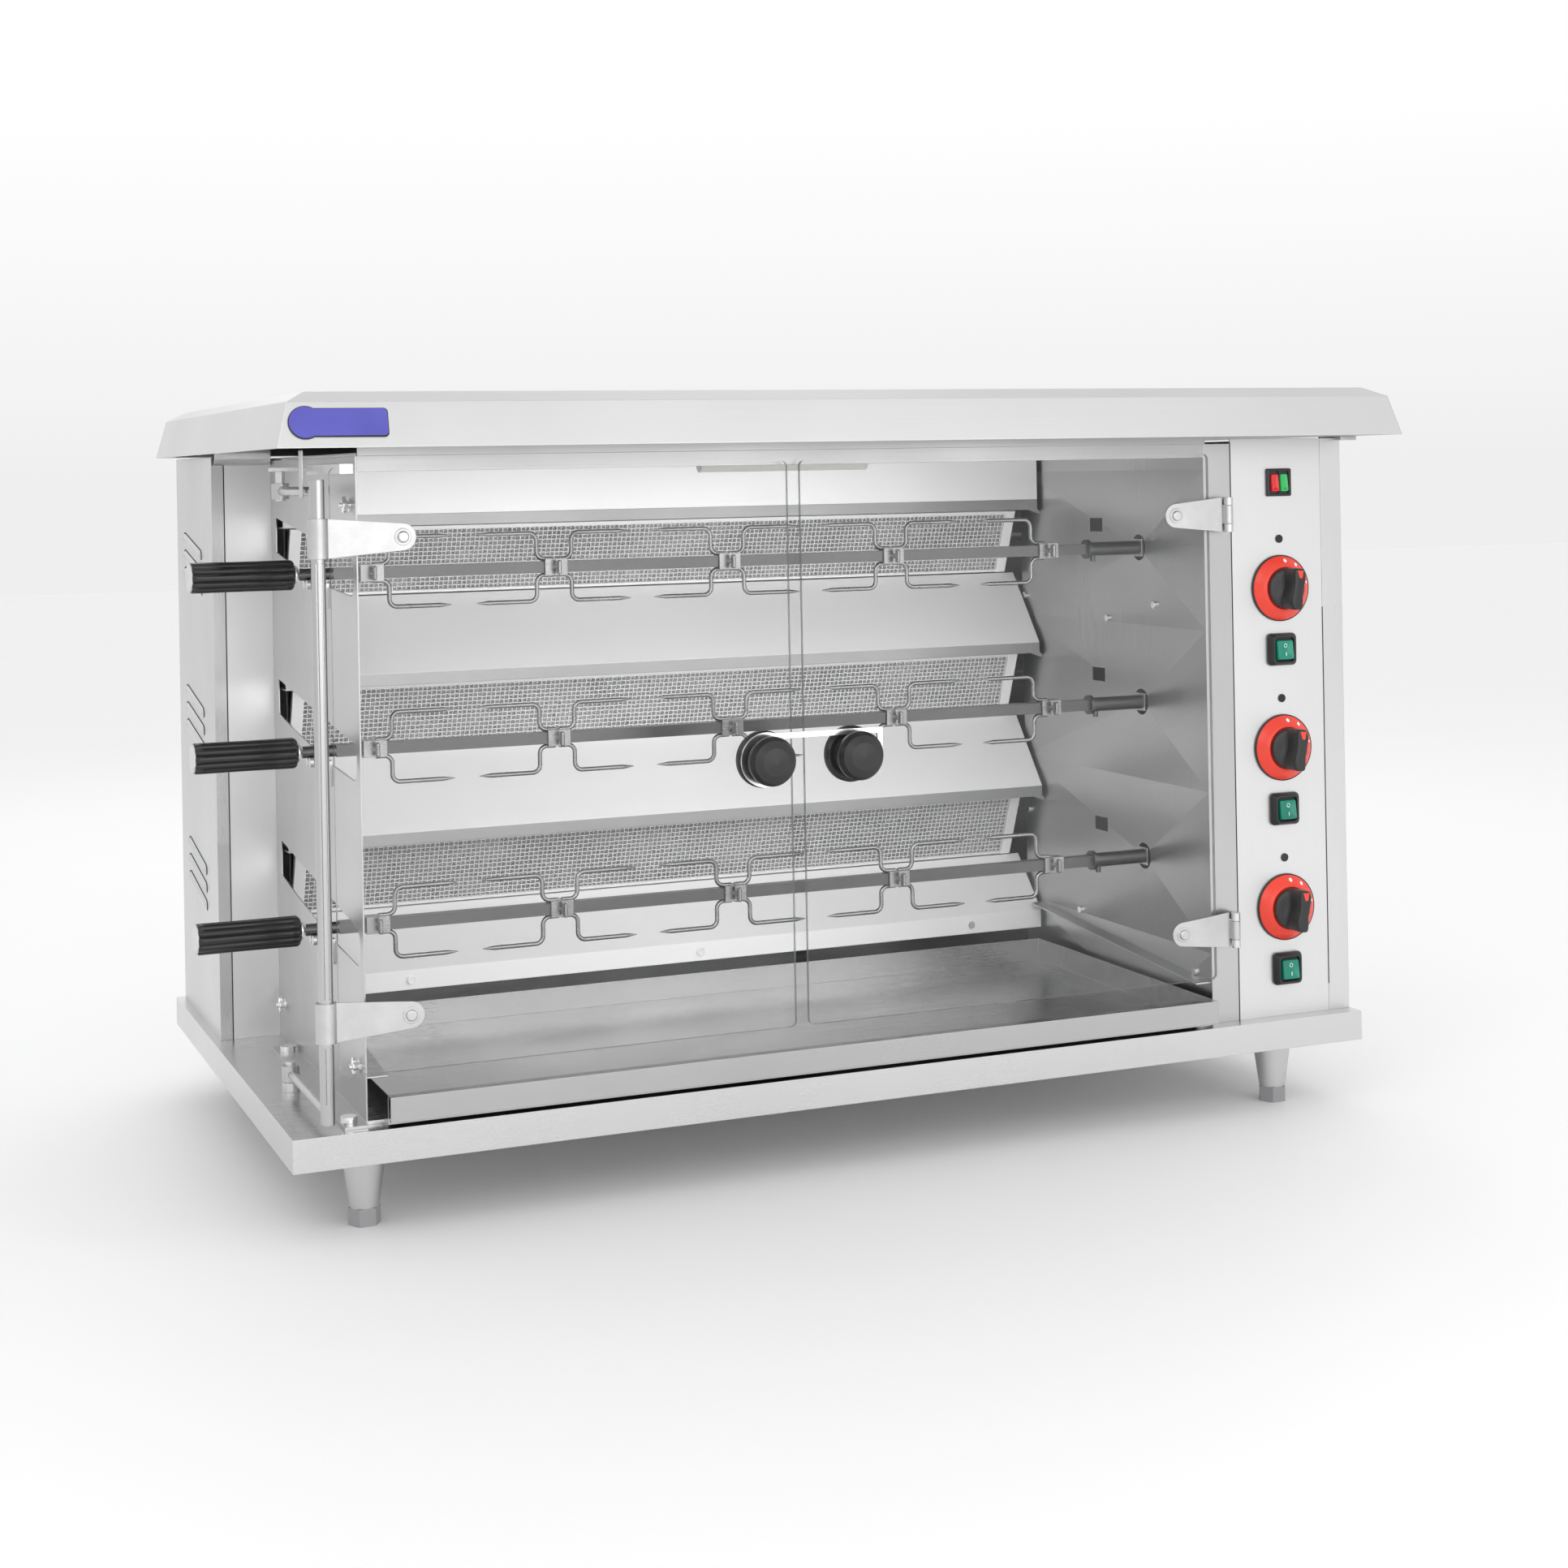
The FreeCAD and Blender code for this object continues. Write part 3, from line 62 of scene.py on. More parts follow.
class Finish:
    """A node material on object coordinates, with a short way to add textures."""

    def __init__(self, name, rough=0.4, metal=0.0, **sockets):
        self.material = bpy.data.materials.new(name)
        self.material.use_nodes = True
        self.nodes = self.material.node_tree.nodes
        self.links = self.material.node_tree.links
        self.shader = self.nodes["Principled BSDF"]
        self.place = self.nodes.new("ShaderNodeTexCoord").outputs["Object"]
        self.shader.inputs["Roughness"].default_value = rough
        self.shader.inputs["Metallic"].default_value = metal
        for socket, value in sockets.items():
            self.shader.inputs[socket.replace("_", " ")].default_value = value

    def noise(self, stretch, detail=4.0, rough=0.55):
        spread = self.nodes.new("ShaderNodeMapping")
        spread.inputs["Scale"].default_value = stretch
        self.links.new(self.place, spread.inputs["Vector"])
        cloud = self.nodes.new("ShaderNodeTexNoise")
        cloud.inputs["Scale"].default_value = 1.0
        cloud.inputs["Detail"].default_value = detail
        cloud.inputs["Roughness"].default_value = rough
        self.links.new(spread.outputs["Vector"], cloud.inputs["Vector"])
        return cloud.outputs["Fac"]

    def cells(self, scale):
        pattern = self.nodes.new("ShaderNodeTexVoronoi")
        pattern.inputs["Scale"].default_value = scale
        self.links.new(self.place, pattern.inputs["Vector"])
        return pattern.outputs["Distance"]

    def ranged(self, value, low, high, start=0.0, end=1.0):
        band = self.nodes.new("ShaderNodeMapRange")
        for socket, number in (("From Min", start), ("From Max", end), ("To Min", low), ("To Max", high)):
            band.inputs[socket].default_value = number
        self.links.new(value, band.inputs["Value"])
        return band.outputs["Result"]

    def blended(self, factor, first, second):
        """Two colours mixed by a texture; each is a colour or another mix's output."""
        mixer = self.nodes.new("ShaderNodeMix")
        mixer.data_type = "RGBA"
        self.links.new(factor, mixer.inputs["Factor"])
        for socket, colour in ((mixer.inputs[6], first), (mixer.inputs[7], second)):
            if isinstance(colour, tuple):
                socket.default_value = (*colour, 1.0)
            else:
                self.links.new(colour, socket)
        return mixer.outputs[2]

    def math(self, operation, first, second):
        step = self.nodes.new("ShaderNodeMath")
        step.operation = operation
        for socket, value in zip(step.inputs, (first, second)):
            if isinstance(value, (int, float)):
                socket.default_value = value
            else:
                self.links.new(value, socket)
        return step.outputs["Value"]

    def edges(self, radius):
        """The bevelled normal, and how far it leans from the flat one: a mask for painted highlights along
        edges.
        """
        soft = self.nodes.new("ShaderNodeBevel")
        soft.samples = 4
        soft.inputs["Radius"].default_value = radius
        plain = self.nodes.new("ShaderNodeNewGeometry")
        lean = self.nodes.new("ShaderNodeVectorMath")
        lean.operation = "DOT_PRODUCT"
        self.links.new(soft.outputs["Normal"], lean.inputs[0])
        self.links.new(plain.outputs["Normal"], lean.inputs[1])
        return soft.outputs["Normal"], self.ranged(lean.outputs["Value"], 1.0, 0.0, 0.75, 0.995)

    def bump(self, height, distance, strength=1.0, normal=None):
        relief = self.nodes.new("ShaderNodeBump")
        relief.inputs["Strength"].default_value = strength
        relief.inputs["Distance"].default_value = distance
        self.links.new(height, relief.inputs["Height"])
        if normal is not None:
            self.links.new(normal, relief.inputs["Normal"])
        return relief.outputs["Normal"]

    def paint(self, colour=None, rough=None, normal=None):
        for socket, value in (("Base Color", colour), ("Roughness", rough), ("Normal", normal)):
            if value is not None:
                self.links.new(value, self.shader.inputs[socket])
        return self.material


def grey(level):
    return (level, level, level)


def cross_brake(finish):
    """Shallow pyramids pressed into a wall round each drive hole, from 1 at the hole to 0 half way on."""
    low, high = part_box("wall_right")
    hub = middle_of("drive_coupling_lower")
    pitch = middle_of("drive_coupling_middle").z - hub.z
    parts = finish.nodes.new("ShaderNodeSeparateXYZ")
    finish.links.new(finish.place, parts.inputs["Vector"])
    offset = finish.math("SUBTRACT", parts.outputs["Y"], hub.y)
    forward = finish.math("DIVIDE", offset, low.y - hub.y)
    backward = finish.math("DIVIDE", offset, high.y - hub.y)
    lifted = finish.math("ADD", parts.outputs["Z"], pitch / 2 - hub.z + pitch)
    phase = finish.math("SUBTRACT", finish.math("MODULO", lifted, pitch), pitch / 2)
    upward = finish.math("DIVIDE", finish.math("ABSOLUTE", phase, 0.0), pitch / 2)
    reach = finish.math("MAXIMUM", finish.math("MAXIMUM", forward, backward), upward)
    return finish.math("SUBTRACT", 1.0, reach)


def brushed(name, tone, rough, grain="x", cloud=0.04, edge=0.0009, blotch=2.6, metal=1.0, streak=0.16,
            braked=False):
    """Sheet steel: fine grain along one axis, slow clouds in tone and gloss, a painted highlight along folded
    edges.
    """
    finish = Finish(name, metal=metal)
    stretch = {"x": (7, 1100, 1100), "y": (1100, 7, 1100), "z": (1100, 1100, 7)}[grain]
    lines = finish.noise(stretch, detail=3)
    clouds = finish.noise((blotch, blotch * 1.3, blotch), detail=5, rough=0.6)
    smears = finish.noise((blotch * 2, blotch * 2, blotch), detail=5)
    normal, edge_highlight = finish.edges(edge)
    if braked:
        normal = finish.bump(cross_brake(finish), 0.010, 1.0, normal)
    colour = finish.blended(finish.ranged(clouds, 0, 1, 0.3, 0.7),
                            grey(tone * (1 - cloud)), grey(tone * (1 + cloud)))
    colour = finish.blended(finish.ranged(lines, 0, streak, 0.35, 0.65), colour, grey(tone * 0.88))
    # Edges are lightened in colour here: a painted highlight.
    colour = finish.blended(edge_highlight, colour, grey(min(tone * 1.2, 0.96)))
    gloss = finish.math("ADD", finish.ranged(lines, -0.02, 0.02, 0.3, 0.7),
                        finish.ranged(smears, rough - 0.03, rough + 0.05, 0.3, 0.7))
    gloss = finish.math("MAXIMUM", gloss, 0.05)
    relief = finish.bump(lines, 0.00004, 0.12, normal)
    return finish.paint(colour, gloss, relief)


def moulded(name, colour, rough, grain=900, depth=0.00004, vary=0.12, edge=0.0005, highlight_lift=0.02):
    """Plastic, rubber or enamel: faint mottling, fine orange peel, soft painted highlights along edges."""
    finish = Finish(name)
    clouds = finish.noise((14, 14, 14), detail=5)
    peel = finish.noise((grain, grain, grain), detail=2)
    normal, edge_highlight = finish.edges(edge)
    dark = tuple(c * (1 - vary) for c in colour)
    light = tuple(min(1.0, c * (1 + vary) + 0.004) for c in colour)
    tone = finish.blended(finish.ranged(clouds, 0, 1, 0.3, 0.7), dark, light)
    # A lighter copy of the colour along edges: a painted highlight.
    highlight_colour = tuple(min(1.0, c * 1.35 + highlight_lift) for c in colour)
    tone = finish.blended(finish.ranged(edge_highlight, 0, 0.6), tone, highlight_colour)
    gloss = finish.ranged(clouds, rough - 0.06, rough + 0.07, 0.3, 0.7)
    return finish.paint(tone, gloss, finish.bump(peel, depth, 0.5, normal))


def clear_glass():
    """Clear toughened pane: see-through faces, a pale veil of painted reflection that thickens where it is
    seen edge on, faint smudges, and greyer cut edges.

    A cut edge is told from a face by the world's Y, which holds for closed doors only: an open door's
    pane counts as more and more of a cut edge as it turns, and is nearly opaque at 90 degrees.
    """
    finish = Finish("door_glass_pane", rough=0.03, IOR=1.5)
    geometry = finish.nodes.new("ShaderNodeNewGeometry")
    parts = finish.nodes.new("ShaderNodeSeparateXYZ")
    finish.links.new(geometry.outputs["True Normal"], parts.inputs["Vector"])
    facing = finish.math("ABSOLUTE", parts.outputs["Y"], 0.0)
    cut_edge = finish.ranged(facing, 1.0, 0.0, 0.2, 0.9)
    sheen = finish.nodes.new("ShaderNodeLayerWeight")
    sheen.inputs["Blend"].default_value = 0.25
    smear = finish.noise((3, 3, 9), detail=4)
    # The pane's pale colour grows more opaque towards grazing angles: a painted reflection, with faint
    # smudges added.
    reflection_veil_and_smudge = finish.math("ADD", finish.ranged(sheen.outputs["Facing"], 0.015, 0.25, 0.3, 1.0),
                       finish.ranged(smear, 0.0, 0.025, 0.45, 0.8))
    opacity = finish.math("MAXIMUM", reflection_veil_and_smudge, finish.math("MULTIPLY", cut_edge, 0.8))
    finish.links.new(opacity, finish.shader.inputs["Alpha"])
    colour = finish.blended(cut_edge, (0.92, 0.94, 0.94), (0.24, 0.26, 0.26))
    return finish.paint(colour)


def ceramic():
    """Perforated burner plaque behind the wire, its holes dark dots of painted shade."""
    finish = Finish("burner_plaque", rough=0.8)
    holes = finish.cells(330)
    soot = finish.noise((11, 11, 22), detail=5)
    base = finish.blended(finish.ranged(soot, 0, 1, 0.35, 0.7), grey(0.42), grey(0.26))
    # Near-black dots at the perforations: painted shade inside the holes.
    hole_shade = finish.ranged(holes, 1, 0, 0.18, 0.32)
    colour = finish.blended(hole_shade, base, grey(0.06))
    return finish.paint(colour, None, finish.bump(holes, 0.0006, 0.6))


def build_finishes():
    made = {
        "stainless_sheet": brushed("sheet_steel_upright", 0.68, 0.30, "z"),
        "stainless_level": brushed("sheet_steel_level", 0.66, 0.28, "x", cloud=0.03),
        # The chamber's sheets are darker copies of the outer steel, the cross-braked right wall darkest:
        # painted shade for the inside of the chamber.
        "stainless_inside": brushed("sheet_steel_chamber_shaded", 0.56, 0.33, "z", cloud=0.08, blotch=3.4),
        "stainless_braked": brushed("sheet_steel_cross_braked_shaded", 0.52, 0.30, "z", cloud=0.08, braked=True),
        "stainless_deep": brushed("sheet_steel_side", 0.60, 0.28, "z", cloud=0.06),
        # A lighter, less metallic copy of the sheet steel: painted light for the corner panel's bright look.
        "corner_steel": brushed("corner_panel_steel_lit", 0.78, 0.34, "z", cloud=0.05, metal=0.72, streak=0.06),
        "panel_steel": brushed("control_panel_steel", 0.70, 0.34, "z", cloud=0.02, metal=0.75, streak=0.10),
        "post_steel": brushed("swing_post_steel", 0.52, 0.26, "z"),
        "tray_steel": brushed("drip_tray_steel", 0.48, 0.24, "x", cloud=0.05),
        "satin": brushed("satin_strap_steel", 0.58, 0.36, "x", cloud=0.09, blotch=30),
        "header_steel": brushed("header_rail_steel", 0.47, 0.34, "x", cloud=0.04),
        "roof_steel": brushed("roof_sheet_steel", 0.66, 0.33, "x", cloud=0.03, edge=0.0016),
        "bright_steel": brushed("polished_reflector_steel", 0.94, 0.34, "x", cloud=0.02, metal=0.30),
        "wire_screen": brushed("screen_wire", 0.92, 0.30, "x", edge=0.0002, metal=0.40),
        "bar_steel": brushed("spit_bar_steel", 0.13, 0.30, "x", cloud=0.14, edge=0.0005),
        "fork_steel": brushed("spit_fork_steel", 0.34, 0.27, "x", cloud=0.20, edge=0.0005, blotch=20),
        "hood_steel": brushed("hood_strip_steel", 0.42, 0.34, "x", cloud=0.05),
        "burner_steel": brushed("burner_tank_steel", 0.48, 0.42, "x", cloud=0.14),
        "leg_alloy": brushed("cast_leg_alloy", 0.62, 0.38, "z", cloud=0.06),
        "bolt_steel": brushed("polished_bolt_steel", 0.90, 0.14, "x", edge=0.0006),
        "gas_steel": brushed("gas_pipe_steel", 0.62, 0.36, "y"),
        "latch_steel": brushed("polished_latch_steel", 0.95, 0.16, "x", edge=0.0004),
        "coupling_steel": brushed("coupling_block_steel", 0.55, 0.34, "x"),
        "motor_grey": moulded("motor_paint", (0.20, 0.21, 0.22), 0.5),
        "tip_grey": moulded("foot_tip_plastic", (0.30, 0.30, 0.31), 0.5, vary=0.08),
        "cap_grey": moulded("handle_cap_plastic", (0.62, 0.62, 0.63), 0.4, vary=0.05),
        "badge_blue": moulded("badge_enamel", (0.085, 0.085, 0.42), 0.22, grain=240, vary=0.10),
        "badge_dark": moulded("badge_backing", (0.012, 0.012, 0.02), 0.3),
        "gland_black": moulded("gland_plastic", (0.018, 0.018, 0.019), 0.5),
        "terminal_plastic": moulded("terminal_block_plastic", (0.72, 0.70, 0.62), 0.5),
        "lens_dark": moulded("sight_lens", (0.012, 0.012, 0.012), 0.12),
        "bezel_red": moulded("bezel_enamel", (0.78, 0.045, 0.022), 0.27, grain=300, vary=0.05),
        "mark_white": moulded("mark_paint", (0.88, 0.88, 0.88), 0.5, vary=0.03),
        "pointer_red": moulded("pointer_paint", (0.80, 0.05, 0.03), 0.4, vary=0.04),
        "switch_black": moulded("switch_boot_rubber", (0.012, 0.012, 0.013), 0.42, grain=1500),
        # The knob's strong edge lightening is a painted highlight.
        "knob_black": moulded("knob_phenolic", (0.016, 0.016, 0.017), 0.36, grain=1300, depth=0.00008,
                              edge=0.0010, highlight_lift=0.16),
        # Near-black finish for strips and tubes that stand for shade in gaps and louvre mouths: painted
        # shade.
        "gap_shade": moulded("seam_shadow_gap", (0.030, 0.030, 0.031), 0.7),
        "handle_black": moulded("handle_bakelite", (0.010, 0.010, 0.011), 0.17, grain=500, depth=0.00002),
        "rocker_red": moulded("rocker_lens_red", (0.70, 0.015, 0.02), 0.14, vary=0.25),
        "rocker_green": moulded("rocker_lens_teal", (0.0, 0.20, 0.13), 0.12, vary=0.25),
        "rocker_green_bright": moulded("rocker_lens_green", (0.02, 0.45, 0.10), 0.14, vary=0.25),
        "door_glass": clear_glass(),
        "plaque": ceramic(),
    }
    brass = Finish("valve_brass_body", rough=0.3, metal=1.0)
    tarnish = brass.noise((40, 40, 40), detail=5)
    made["valve_brass"] = brass.paint(
        brass.blended(brass.ranged(tarnish, 0, 1, 0.35, 0.65), (0.60, 0.42, 0.16), (0.42, 0.28, 0.11)),
        brass.ranged(tarnish, 0.22, 0.45, 0.3, 0.7), brass.bump(tarnish, 0.0002, 0.4))
    lamp = Finish("lamp_diffuser", rough=0.35)
    ribs = lamp.noise((300, 4, 4), detail=1)
    lamp.shader.inputs["Transmission Weight"].default_value = 0.3
    made["lamp_glass"] = lamp.paint(lamp.blended(ribs, (0.90, 0.90, 0.86), (0.78, 0.78, 0.75)),
                                    None, lamp.bump(ribs, 0.0004, 0.5))
    return made


FINISH = build_finishes()

NODE_FINISH = {
    "base_tray": "stainless_level", "header_rail": "header_steel", "inner_ceiling": "stainless_inside",
    "drip_tray": "tray_steel", "tray_rails": "stainless_level", "wall_left": "stainless_inside",
    "wall_right": "stainless_braked", "burner_hoods": "hood_steel", "hinge_leaves_left": "satin",
    "hinge_leaves_right": "satin", "louvre_panel": "stainless_deep", "corner_panel": "corner_steel",
    "control_panel": "panel_steel", "swing_frame": "post_steel",
    "spit_bar_lower": "bar_steel", "spit_bar_middle": "bar_steel", "spit_bar_upper": "bar_steel",
    "spit_forks_lower": "fork_steel", "spit_forks_middle": "fork_steel", "spit_forks_upper": "fork_steel",
}


def dress_nodes():
    """Every CAD node takes the finish that its material is named after, or a variant of its own."""
    for name, obj in NODES.items():
        slot = obj.data.materials[0].name.split(".")[0]
        finish = FINISH[NODE_FINISH.get(name, slot)]
        for index in range(len(obj.data.materials)):
            obj.data.materials[index] = finish


dress_nodes()


# ---------------------------------------------------------------- mesh building

AXES = {
    "x": (Vector((1, 0, 0)), Vector((0, 1, 0)), Vector((0, 0, 1))),
    "y": (Vector((0, 1, 0)), Vector((0, 0, 1)), Vector((1, 0, 0))),
    "z": (Vector((0, 0, 1)), Vector((1, 0, 0)), Vector((0, 1, 0))),
}


class Piece:
    """Vertices and faces of one visible piece, gathered from several shapes."""

    def __init__(self):
        self.verts = []
        self.faces = []

    def loft(self, rings):
        """Closed skin over rings that each have the same number of points."""
        count = len(rings[0])
        start = len(self.verts)
        self.verts += [Vector(point) for ring in rings for point in ring]
        for row in range(len(rings) - 1):
            for i in range(count):
                j = (i + 1) % count
                low = start + row * count
                self.faces.append((low + i, low + j, low + count + j, low + count + i))
        last = start + (len(rings) - 1) * count
        self.faces.append(tuple(start + i for i in reversed(range(count))))
        self.faces.append(tuple(last + i for i in range(count)))

    def turned(self, profile, centre, axis, steps=48, flute=None):
        """Rings round an axis. profile holds (distance along the axis, radius) in millimetres."""
        along, across, up = AXES[axis]
        rings = []
        for distance, radius in profile:
            ring = []
            for i in range(steps):
                angle = 2 * math.pi * i / steps
                size = radius * (flute(angle) if flute else 1.0)
                ring.append(centre + along * distance * MM
                            + (across * math.cos(angle) + up * math.sin(angle)) * size * MM)
            rings.append(ring)
        self.loft(rings)

    def tube(self, path, radius, sides):
        """A round wire along points."""
        rings = []
        for i, point in enumerate(path):
            ahead = path[min(i + 1, len(path) - 1)] - path[max(i - 1, 0)]
            ahead.normalize()
            guide = Vector((0, 0, 1)) if abs(ahead.z) < 0.9 else Vector((1, 0, 0))
            side = ahead.cross(guide).normalized()
            up = side.cross(ahead)
            rings.append([point + (side * math.cos(2 * math.pi * k / sides)
                                   + up * math.sin(2 * math.pi * k / sides)) * radius
                          for k in range(sides)])
        self.loft(rings)

    def slab(self, outline, normal, thickness):
        """A flat plate: its outline as points, pushed along a normal."""
        push = Vector(normal).normalized() * thickness
        self.loft([list(outline), [point + push for point in outline]])

    def block(self, low, high, rounding=0.0):
        """A box between two corners, with its upright edges rounded."""
        outline = rounded(low.x, high.x, low.y, high.y, rounding)
        self.slab([Vector((x, y, low.z)) for x, y in outline], (0, 0, 1), high.z - low.z)

    def make(self, name, body, finish, replaces=(), angle=32, bevel=0.0):
        """A smooth-shaded object, creased where its faces meet at more than angle, on a body and in a finish.
        """
        mesh = bpy.data.meshes.new(name)
        mesh.from_pydata(self.verts, [], self.faces)
        mesh.materials.append(FINISH[finish])
        shape = bmesh.new()
        shape.from_mesh(mesh)
        bmesh.ops.recalc_face_normals(shape, faces=shape.faces)
        shape.to_mesh(mesh)
        shape.free()
        mesh.shade_smooth()
        mesh.set_sharp_from_angle(angle=math.radians(angle))
        obj = bpy.data.objects.new(name, mesh)
        bpy.context.scene.collection.objects.link(obj)
        if bevel:
            soften = obj.modifiers.new("soften", "BEVEL")
            soften.width = bevel * MM
            soften.segments = 2
            soften.limit_method = "ANGLE"
            soften.angle_limit = math.radians(angle)
        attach(obj, body)
        if replaces:
            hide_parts(*replaces)


def circle(steps):
    """Angles of evenly spaced points round a circle."""
    return [2 * math.pi * k / steps for k in range(steps)]


def rounded(x_low, x_high, y_low, y_high, radius):
    """Outline points of a rectangle, with each corner rounded in five steps if it has a radius."""
    steps = 5
    if radius <= 0:
        return [(x_low, y_low), (x_high, y_low), (x_high, y_high), (x_low, y_high)]
    points = []
    corners = ((x_high - radius, y_high - radius, 0), (x_low + radius, y_high - radius, 90),
               (x_low + radius, y_low + radius, 180), (x_high - radius, y_low + radius, 270))
    for x, y, start in corners:
        for step in range(steps + 1):
            angle = math.radians(start + 90 * step / steps)
            points.append((x + radius * math.cos(angle), y + radius * math.sin(angle)))
    return points


# ---------------------------------------------------------------- spit handles

def handle(tier):
    """Glossy grip with ten long flutes, a turned ferrule and a pale end cap."""
    node = f"spit_handle_{tier}"
    low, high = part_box(node)
    centre = Vector((low.x, (low.y + high.y) / 2, (low.z + high.z) / 2))
    length = (high.x - low.x) / MM
    radius, waist = 15.5, 0.25
    shoulder = 3.6
    straight = length - 8.6
    stations = 14
    flutes, flute_depth, flute_sharpness = 10, 0.135, 1.7

    def fluted(angle):
        ridge = abs(math.cos(flutes / 2 * angle))
        return 1 - flute_depth * (1 - ridge) ** flute_sharpness

    grip = Piece()
    profile = [(2.2, radius - 1.6), (2.6, radius - 0.5), (shoulder, radius)]
    profile += [(shoulder + straight * step / stations, radius - waist * math.sin(math.pi * step / stations))
                for step in range(1, stations + 1)]
    profile += [(length - 3.0, radius - 0.7), (length - 1.4, radius - 2.6), (length - 0.8, radius - 5.5)]
    grip.turned(profile, centre, "x", steps=120, flute=fluted)
    grip.make(f"fluted_grip_{tier}", f"spit_{tier}", "handle_black", [node], angle=48)
    cap = Piece()
    cap.turned([(0.9, 4.0), (0.0, 8.2), (0.0, 12.4), (0.6, 13.6), (1.6, 14.0), (2.6, 13.9)],
               centre, "x", 64)
    cap.make(f"grip_cap_{tier}", f"spit_{tier}", "cap_grey", angle=50)
    ferrule = Piece()
    ferrule.turned([(length - 0.9, 8.0), (length - 0.7, 9.6), (length + 0.6, 9.8), (length + 2.2, 8.8),
                    (length + 3.4, 7.4), (length + 4.2, 6.6)], centre, "x", 48)
    ferrule.make(f"grip_ferrule_{tier}", f"spit_{tier}", "bolt_steel")


# ---------------------------------------------------------------- control knobs and bezels

def superellipse(angle, half_x, half_z, power):
    cosine, sine = math.cos(angle), math.sin(angle)
    return (half_x * math.copysign(abs(cosine) ** (2 / power), cosine),
            half_z * math.copysign(abs(sine) ** (2 / power), sine))


def control_knob(tier):
    """Round skirt that flows into a waisted grip bar, with a red pointer at its upper end."""
    node = f"control_knob_{tier}"
    low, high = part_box(node)
    x = (low.x + high.x) / 2
    z = (low.z + high.z) / 2
    front = low.y
    tilt = math.radians(4)
    grip_reach, waist_reach, curl = 23, 9.0, 6

    def placed(across, up, depth):
        """A point given in millimetres on the upright knob, turned to its setting."""
        turned_x = across * math.cos(tilt) + up * math.sin(tilt)
        turned_z = up * math.cos(tilt) - across * math.sin(tilt)
        return Vector((x + turned_x * MM, front + depth * MM, z + turned_z * MM))

    def ring(depth, half_x, half_z, power, waist=0.0):
        points = []
        for angle in circle(96):
            across, up = superellipse(angle, half_x, half_z, power)
            across *= 1 - waist * math.exp(-(up / waist_reach) ** 2)
            across += curl * waist * math.sin(math.pi * up / grip_reach)
            points.append(placed(across, up, depth))
        return points

    knob = Piece()
    knob.loft([
        ring(26.0, 20.6, 20.6, 2.0), ring(25.8, 22.3, 22.3, 2.0), ring(25.0, 22.8, 22.8, 2.0),
        ring(23.6, 22.6, 22.6, 2.0), ring(22.6, 22.0, 22.3, 2.05), ring(22.0, 19.6, 22.2, 2.3, 0.04),
        ring(21.4, 13.6, 22.3, 2.8, 0.12), ring(20.0, 10.2, 22.6, 3.2, 0.18),
        ring(16.0, 8.9, 22.9, 3.8, 0.20), ring(8.0, 8.0, 23.0, 4.2, 0.20), ring(2.2, 7.5, 23.0, 4.4, 0.20),
        ring(0.9, 7.1, 22.6, 4.4, 0.20), ring(0.25, 6.3, 21.8, 4.2, 0.20), ring(0.0, 4.8, 20.4, 4.0, 0.20),
    ])
    knob.make(f"gas_knob_{tier}", f"knob_{tier}", "knob_black", [node], angle=55)
    pointer = Piece()
    outline = [placed(across, up, -0.2)
               for across, up in ((-3.2, 20.6), (4.2, 20.6), (3.4, 12.8), (1.4, 11.8), (-0.6, 12.8))]
    pointer.slab(outline, (0, 1, 0), 1.2 * MM)
    pointer.make(f"knob_pointer_{tier}", f"knob_{tier}", "pointer_red", angle=30)


def bezels():
    """Dished red rings with a black rim behind them and three pale setting marks."""
    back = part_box("knob_bezels")[1].y
    mark_circle, mark_depth, mark_lift, mark_thick = 30.6, 7.1, 0.9, 1.3
    dish_slope, lengthened = 0.83, 1.25
    red = Piece()
    rim = Piece()
    marks = Piece()
    for tier in TIERS:
        knob = middle_of(f"control_knob_{tier}")
        centre = Vector((knob.x, back, knob.z))
        red.turned([(-2.4, 35.9), (-3.1, 35.6), (-3.9, 34.6), (-6.0, 32.4), (-8.6, 29.2), (-10.6, 26.2),
                    (-11.4, 24.6), (-11.2, 23.4), (-9.6, 22.6), (-8.6, 12.0), (-8.4, 6.0)],
                   centre, "y", 96)
        rim.turned([(-0.1, 36.2), (-0.3, 37.0), (-2.4, 37.0), (-2.9, 36.4), (-2.6, 34.0)], centre, "y", 96)
        for clockwise, size in ((5, 2.0), (33, 2.0), (79, 1.6)):
            angle = math.radians(90 - clockwise)
            outward = Vector((math.cos(angle), 0, math.sin(angle)))
            spot = centre + outward * mark_circle * MM - Vector((0, mark_depth * MM, 0))
            tangent = Vector((0, 1, 0)).cross(outward)
            slope = (outward + Vector((0, dish_slope, 0))).normalized()
            normal = slope.cross(tangent).normalized()
            if normal.y > 0:
                normal = -normal
            dot = [spot + (slope * math.cos(a) * size * lengthened + tangent * math.sin(a) * size) * MM
                   - normal * mark_lift * MM for a in circle(20)]
            marks.slab(dot, normal, mark_thick * MM)
    red.make("bezel_rings", "root", "bezel_red", ["knob_bezels"], angle=50)
    rim.make("bezel_rims", "root", "switch_black", angle=40)
    marks.make("bezel_marks", "root", "mark_white", angle=40)


# ---------------------------------------------------------------- switches

